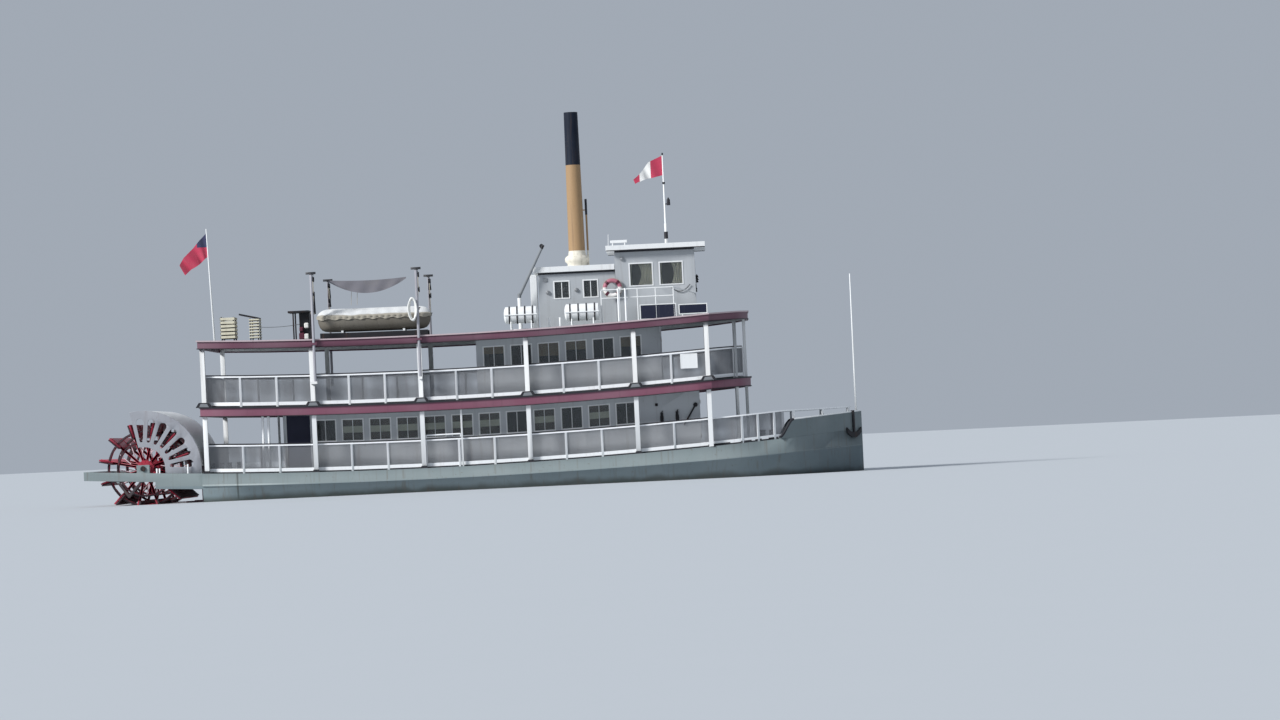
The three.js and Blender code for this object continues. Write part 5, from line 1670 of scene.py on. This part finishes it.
# Under the table stand two pale stores and two red ones: x, height over the roof, size.
STORES = {
    "red": ("dark_red", "flag_cloth", ((-6.1, 0.02, 0.2), (-6.08, 0.3, 0.14))),
    "pale": ("buoy_paint", "raft_plastic", ((-5.92, 0.02, 0.17), (-5.9, 0.42, 0.16))),
}
for name, (finish, slot, places) in STORES.items():
    goods = [
        block((x, -2.62, on_roof(x, lift)), (x + size, -2.2, on_roof(x, lift) + size * 1.2), 0.03)
        for x, lift, size in places
    ]
    fitted(goods, "roof_stores_" + name, finish, slot)
print(len(slats), "slats, a table and", 2 * len(STORES), "stores")

# %% [markdown]
# ## Davit tackles
#
# Each davit carries a tackle: two black blocks with a rope between them, and the fall brought down to a
# cleat on the pole. A block is a short cylinder between two cheeks. The ropes run straight, because they
# are hauled tight.


# %% Rig the davits
DAVITS = (("aft", -5.5), ("fore", -1.76))
HANDS = (("starboard", -1), ("port", 1))
TACKLE_OUT, TACKLE_Y = 0.05, 3.4
TACKLE_HIGH, TACKLE_LOW = DAVIT_HEAD - 0.17, WATER + 7.2
CLEAT_Y, CLEAT_Z = 3.52, WATER + 6.55
CHEEKS = (-0.045, 0.03)
FALL_R, FALL_APART = 0.01, 0.055
CLEAT_TURNS = 5
# Spare rope is bundled on three of the tackles, from one height over the water down to another.
BUNDLES = {
    ("aft", -1): [(7.12, 6.5)],
    ("aft", 1): [(7.62, 7.28), (7.12, 6.95)],
    ("fore", 1): [(7.62, 7.4)],
}


def pulley(x, y, z):
    """A block with its sheave, cheeks and hook."""
    cheeks = [rod((x + dx, y, z), (x + dx + 0.015, y, z), 0.1, sides=20, bevel=0.004) for dx in CHEEKS]
    sheave = rod((x - 0.03, y, z), (x + 0.03, y, z), 0.085, sides=20)
    eye = [(x, y + 0.03 * math.cos(a), z + 0.095 + 0.03 * math.sin(a)) for a in angles(12)]
    return [*cheeks, sheave, pipe(eye, 0.009, closed=True)]


for word, x in DAVITS:
    for hand, side in HANDS:
        body = "davit_" + word if side < 0 else "root"
        hung_x, y, cleat_y = x + TACKLE_OUT, side * TACKLE_Y, side * CLEAT_Y
        blocks = pulley(hung_x, y, TACKLE_HIGH)
        blocks.append(upright(hung_x, y, DAVIT_HEAD - 0.05, DAVIT_HEAD - 0.105, 0.012, sides=8))
        blocks += pulley(hung_x, y, TACKLE_LOW)
        foot_low, foot_high = side * 3.53 - 0.02, side * 3.58 + 0.02
        blocks.append(block((x - 0.02, foot_low, CLEAT_Z - 0.02), (x + 0.02, foot_high, CLEAT_Z + 0.02)))
        blocks.append(rod((x - 0.1, cleat_y, CLEAT_Z), (x + 0.1, cleat_y, CLEAT_Z), 0.018, sides=10))
        for high, low in BUNDLES.get((word, side), ()):
            blocks.append(upright(hung_x, y, WATER + low, WATER + high, 0.062, 0.045, 16, 0.01))
        fitted(blocks, "tackle_" + word + "_" + hand, "black_iron", body=body)
        both_y = (y - FALL_APART, y + FALL_APART)
        falls = [upright(hung_x, at, TACKLE_LOW, TACKLE_HIGH, FALL_R, sides=8) for at in both_y]
        led = [(hung_x, y + FALL_APART * side, TACKLE_LOW), (x + 0.02, cleat_y, CLEAT_Z + 0.01)]
        falls.append(rod(*led, FALL_R, sides=8))
        for k in range(CLEAT_TURNS):
            z = CLEAT_Z - 0.02 - 0.012 * k
            turn_ends = [(x - 0.07, cleat_y - 0.022, z + 0.03), (x + 0.07, cleat_y - 0.022, z)]
            falls.append(rod(*turn_ends, FALL_R, sides=8))
        fitted(falls, "fall_" + word + "_" + hand, "rope", "canvas", body)
    print("the", word, "davits are rigged")

# %% [markdown]
# ## The bow
#
# The bulwark rises in a curve to the bow and is capped with a white rail. Near it stand the capstan and
# four pairs of bollards, and two more pairs stand on the aft deck. The anchor hangs at the stem.

# %% Cap the bulwark
BULWARK_AFT, BULWARK_FULL = 10.9, 11.43
BULWARK_LOW, BULWARK_HIGH = 0.04, 0.63
CURVE_SPOTS = [BULWARK_AFT, 10.98, 11.06, 11.16, 11.27, 11.36, BULWARK_FULL]
STRAIGHT_SPOTS = [BULWARK_FULL, 11.7, 12, 12.4, 12.8, 13.1, 13.4, 13.65, 13.8, 13.9]
BOARD_SPOTS = (8.5, 9.0, 9.56, 10.13, 10.72, 10.86)
CURVE_R, CURVE_OUT = 0.045, 0.014


def bulwark_top(x):
    t = min(1, max(0, (x - BULWARK_AFT) / (BULWARK_FULL - BULWARK_AFT)))
    return MAIN_DECK + BULWARK_LOW + (BULWARK_HIGH - BULWARK_LOW) * (3 - 2 * t) * t * t + sheer(x)


def cap_point(x, side=1, out=0.0):
    place, y = bow_line(x, 0.03)
    return place, side * (y + out), bulwark_top(x) + 0.012


full_path = [cap_point(x, -1) for x in STRAIGHT_SPOTS] + [cap_point(x) for x in STRAIGHT_SPOTS[::-1]]
piece(pipe(full_path, CAP_R, smooth=False, sides=4), "bulwark_cap", "white_paint")
curve = pipe([cap_point(x, out=CURVE_OUT) for x in CURVE_SPOTS], CURVE_R, smooth=False, sides=4)
piece(mirrored(curve), "bulwark_curve", "dark_trim", slot="black_iron")
shadow = [rail_line(x, 0.045) for x in BOARD_SPOTS]
shadow = strip([(x, -y) for x, y in shadow], MAIN_DECK + 0.006, MAIN_DECK + 0.085, BOARD_THICK)
on_both_sides([shadow], "bow_board_shadow", "dark_trim", "black_iron")
print("the bulwark is capped from", BULWARK_AFT, "m to the stem")

# %% Set the capstan and the bollards
CAPSTAN_X = 12.35
# The capstan's turned pieces: height over the deck from and to, radius below and above, easing.
CAPSTAN = ((0.08, 0.3, 0.19, 0.12, 0.01), (0.29, 0.52, 0.12, 0.2, 0.01), (0.51, 0.6, 0.22, 0.19, 0.02))
BOLLARDS = ((10.5, 1.9), (-9.2, 2.9), (12.0, 0.95))
BOLLARD_APART = 0.17
base = on_main(CAPSTAN_X)
iron = [drum(0.26, 0.1, 32, (CAPSTAN_X, 0, base + 0.05))]
for low, high, radius, tip, bevel in CAPSTAN:
    iron.append(upright(CAPSTAN_X, 0, base + low, base + high, radius, tip, 32, bevel))
for x, half in BOLLARDS:
    base = on_main(x, 0.003)
    for y in (-half, half):
        iron.append(post(x, y, base, base + 0.035, (0.3, 0.1), 0.006))
        for spot in (x - BOLLARD_APART, x + BOLLARD_APART):
            iron.append(upright(spot, y, base + 0.03, base + 0.33, 0.07, 0.075, 20, 0.006))
            iron.append(upright(spot, y, base + 0.32, base + 0.37, 0.095, 0.085, 20, 0.012))
fitted(iron, "capstan_and_bollards", "black_iron", smooth=math.radians(30))
print("a capstan and", 2 * len(BOLLARDS), "pairs of bollards")

# %% Fittings on the forward wall and the blank board on the rail
BOTTLE_Y, BOTTLE_HEIGHT = -2.66, 0.42
wall_things = []
for x in (6.72, 7.27):
    base = WATER + sheer(x) + 1.8
    top = base + BOTTLE_HEIGHT
    wall_things.append(upright(x, BOTTLE_Y, base, top, 0.045, 0.05, 14, 0.01))
    wall_things.append(block((x - 0.06, -2.61, base + 0.1), (x + 0.06, -2.59, base + 0.3)))
    wall_things.append(rod((x, BOTTLE_Y, top), (x + 0.04, BOTTLE_Y - 0.02, top + 0.06), 0.02, 0.015, 8))
start = Vector((7.92, -2.64, WATER + 2.62))
wall_things.append(rod(start, start + Vector((-0.42, 0, -0.68)), 0.03, 0.03, 10))
knob = [start + Vector((0.02, dy, 0.03)) for dy in (-0.02, 0.05)]
wall_things.append(rod(*knob, 0.08, 0.08, 16, 0.01))
wall_things.append(block((6.5, -2.64, WATER + 2.66), (6.6, -2.59, WATER + 2.76)))
fitted(wall_things, "forward_wall_fittings", "black_iron")
sign_frame = moved(ring(0.6, 0.52, 0.03, 0.05), (7.785, -3.3, WATER + 4.205))
sign = [block((7.48, -3.32, WATER + 3.94), (8.09, -3.285, WATER + 4.47), 0.01), sign_frame]
fitted(sign, "blank_rail_board", "white_paint")
print(len(wall_things), "fittings and a blank board")

# %% [markdown]
# ## Small things that finish the outline
#
# Dark lines under the deckhouses' roof slabs are painted shade. The mast has a lamp, two dark bands and a
# dark foot, the steam pipe a dark sleeve, and the crane's boom a black head. A hank of spare rope hangs on
# the forward davit.


# %% Paint shade lines under the roof slabs and trim the mast
# Each painted shade line: from and to along X, the wall's face or the slab's edge, the thickness, and the
# heights.
ROOF_SHADE_LINES = (
    (2.5, 5.27, 1.5, 0.03, 7.58, 7.65),
    (5.28, 8.15, 1.65, 0.03, 8.25, 8.32),
    (4.99, 8.54, 1.88, 0.02, 8.3, 8.335),
)
MAST_X, LAMP_X = 7.16, 7.3
# Turned pieces on the mast and on the steam pipe: x, heights over the water, radii, sides and easing.
TURNED = (
    (MAST_X, 8.74, 8.99, 0.072, None, 16, 0.0),
    (MAST_X, 10.73, 10.8, 0.05, None, 16, 0.0),
    (MAST_X, 11.78, 11.86, 0.03, None, 16, 0.0),
    (LAMP_X, 9.95, 10.17, 0.07, 0.06, 16, 0.01),
    (LAMP_X, 10.16, 10.23, 0.045, 0.02, 16, 0.0),
    (4.3, 9.75, 10.32, 0.042, None, 16, 0.0),
)
trim = []
for x0, x1, near, thick, low, high in ROOF_SHADE_LINES:
    for side in SIDES:
        edges = sorted((side * near, side * (near + thick)))
        trim.append(block((x0, edges[0], WATER + low), (x1, edges[1], WATER + high), 0.004))
for x, low, high, radius, tip, sides, bevel in TURNED:
    trim.append(upright(x, 0, WATER + low, WATER + high, radius, tip, sides, bevel))
trim.append(rod((MAST_X, 0, WATER + 10.0), (LAMP_X - 0.01, 0, WATER + 10.0), 0.02))
fitted(trim, "dark_roof_trim", "dark_trim", "black_iron")

bar = [block((5.14, -1.05, WATER + 8.62), (5.75, -0.95, WATER + 8.72), 0.01)]
bar += [block((x, -1.04, WATER + 8.49), (x + 0.04, -0.96, WATER + 8.63), 0.006) for x in (5.2, 5.64)]
bar.append(rod((5.06, -1.0, WATER + 8.5), (5.08, -1.0, WATER + 8.95), 0.01))
fitted(bar, "pilothouse_roof_bar", "white_paint")
print(len(trim), "dark trims")

# %% Blacken the crane's head
heel, head = Vector((1.8, -1.75, WATER + 6.84)), Vector((2.74, -1.75, WATER + 8.64))
tip = [rod(heel.lerp(head, 0.93), head + (head - heel).normalized() * 0.004, 0.056, 0.054, 16)]
tip.append(rod(*[head + Vector((-0.06, dy, -0.03)) for dy in (-0.04, 0.04)], 0.075, sides=16))
fitted(tip, "crane_head", "black_iron", body=frame["nodes"]["crane_boom"]["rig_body"])
print("the boom is", round((head - heel).length, 2), "m long")

# %% Hang the hank, the lashings and the chain
HANK_TURNS, HANK_R = 5, 0.026
HANK_X, HANK_Z = -1.93, WATER + 6.5


def hank_turn(k):
    """One loose loop of the hank, a little wider and further out than the one before."""
    wide, tall, y = 0.1 + 0.014 * k, 0.36 + 0.02 * (k % 3), -3.71 - 0.02 * k
    loop = []
    for a in angles(20):
        z = HANK_Z + tall * math.sin(a) + 0.02 * math.sin(3 * a + k)
        loop.append((HANK_X + wide * math.cos(a), y, z))
    return pipe(loop, HANK_R, closed=True)


davit_body = frame["nodes"]["davit_fore_starboard"]["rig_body"]
fitted([hank_turn(k) for k in range(HANK_TURNS)], "rope_hank", "white_rope", "canvas", davit_body)
cords = [rod((x, 3.5, WATER + 7.52), (x - 0.03, 3.5, WATER + 6.98), 0.008, sides=8) for x in (-4.63, -4.41)]
fitted(cords, "canvas_lashings", "rope", "canvas")
CHAIN_SAG = 0.8
links = [(7.26 + 0.69 * t, -1.7, WATER + 6.92 + 0.07 * t - CHAIN_SAG * t * (1 - t)) for t in shares(10)]
piece(pipe(links, 0.014), "roof_chain", "dark_trim", slot="black_iron")
print("a hank of", HANK_TURNS, "turns,", len(cords), "lashings and a chain")

# %% Stand the stanchions, the plate and the locker
# Each stanchion: x, y and the height of its top over the water.
STANCHIONS = ((5.36, -2.45, 6.93), (5.62, -2.45, 6.93), (2.86, -2.3, 6.0), (3.24, -2.3, 6.0))
uprights = [upright(x, y, on_roof(x), WATER + top, 0.035) for x, y, top in STANCHIONS]
fitted(uprights, "roof_stanchions", "rail_paint", "white_paint")
texas_plate = block((2.68, -1.53, WATER + 7.32), (2.82, -1.5, WATER + 7.46), 0.006)
piece(texas_plate, "texas_plates", "steel", slot="white_paint")
locker = block((2.2, -1.42, on_roof(2.3)), (2.44, -1.0, WATER + 7.6), 0.01)
piece(locker, "texas_locker", "white_paint")
print(len(STANCHIONS), "stanchions")

# %% Darken the deckhouses' rooms and set the small uprights beside the wheel
# The linings are near black: painted shade inside the texas cabin and the pilothouse.
linings = [
    block((2.62, 0.38, WATER + 6.2), (5.15, 0.42, WATER + 7.6), 0.004),
    block((5.42, 0.88, WATER + 6.75), (8.0, 0.92, WATER + 8.3), 0.004),
    block((5.42, -1.5, WATER + 6.72), (8.0, 1.5, WATER + 6.75), 0.004),
]
fitted(linings, "deckhouse_panelling", "dark_panelling", "white_paint")
PEG_Y, PEG_FOOT = 3.2, WATER + 0.85
PEGS = ((-11.33, 0.17), (-11.23, 0.17), (-10.22, 0.33))
pegs = []
for x, rise in PEGS:
    foot = PEG_FOOT + sheer(x)
    pegs += [upright(x, side * PEG_Y, foot, foot + rise, 0.03) for side in SIDES]
fitted(pegs, "wheel_side_pegs", "rail_paint", "white_paint")
print(len(pegs), "pegs beside the wheel")
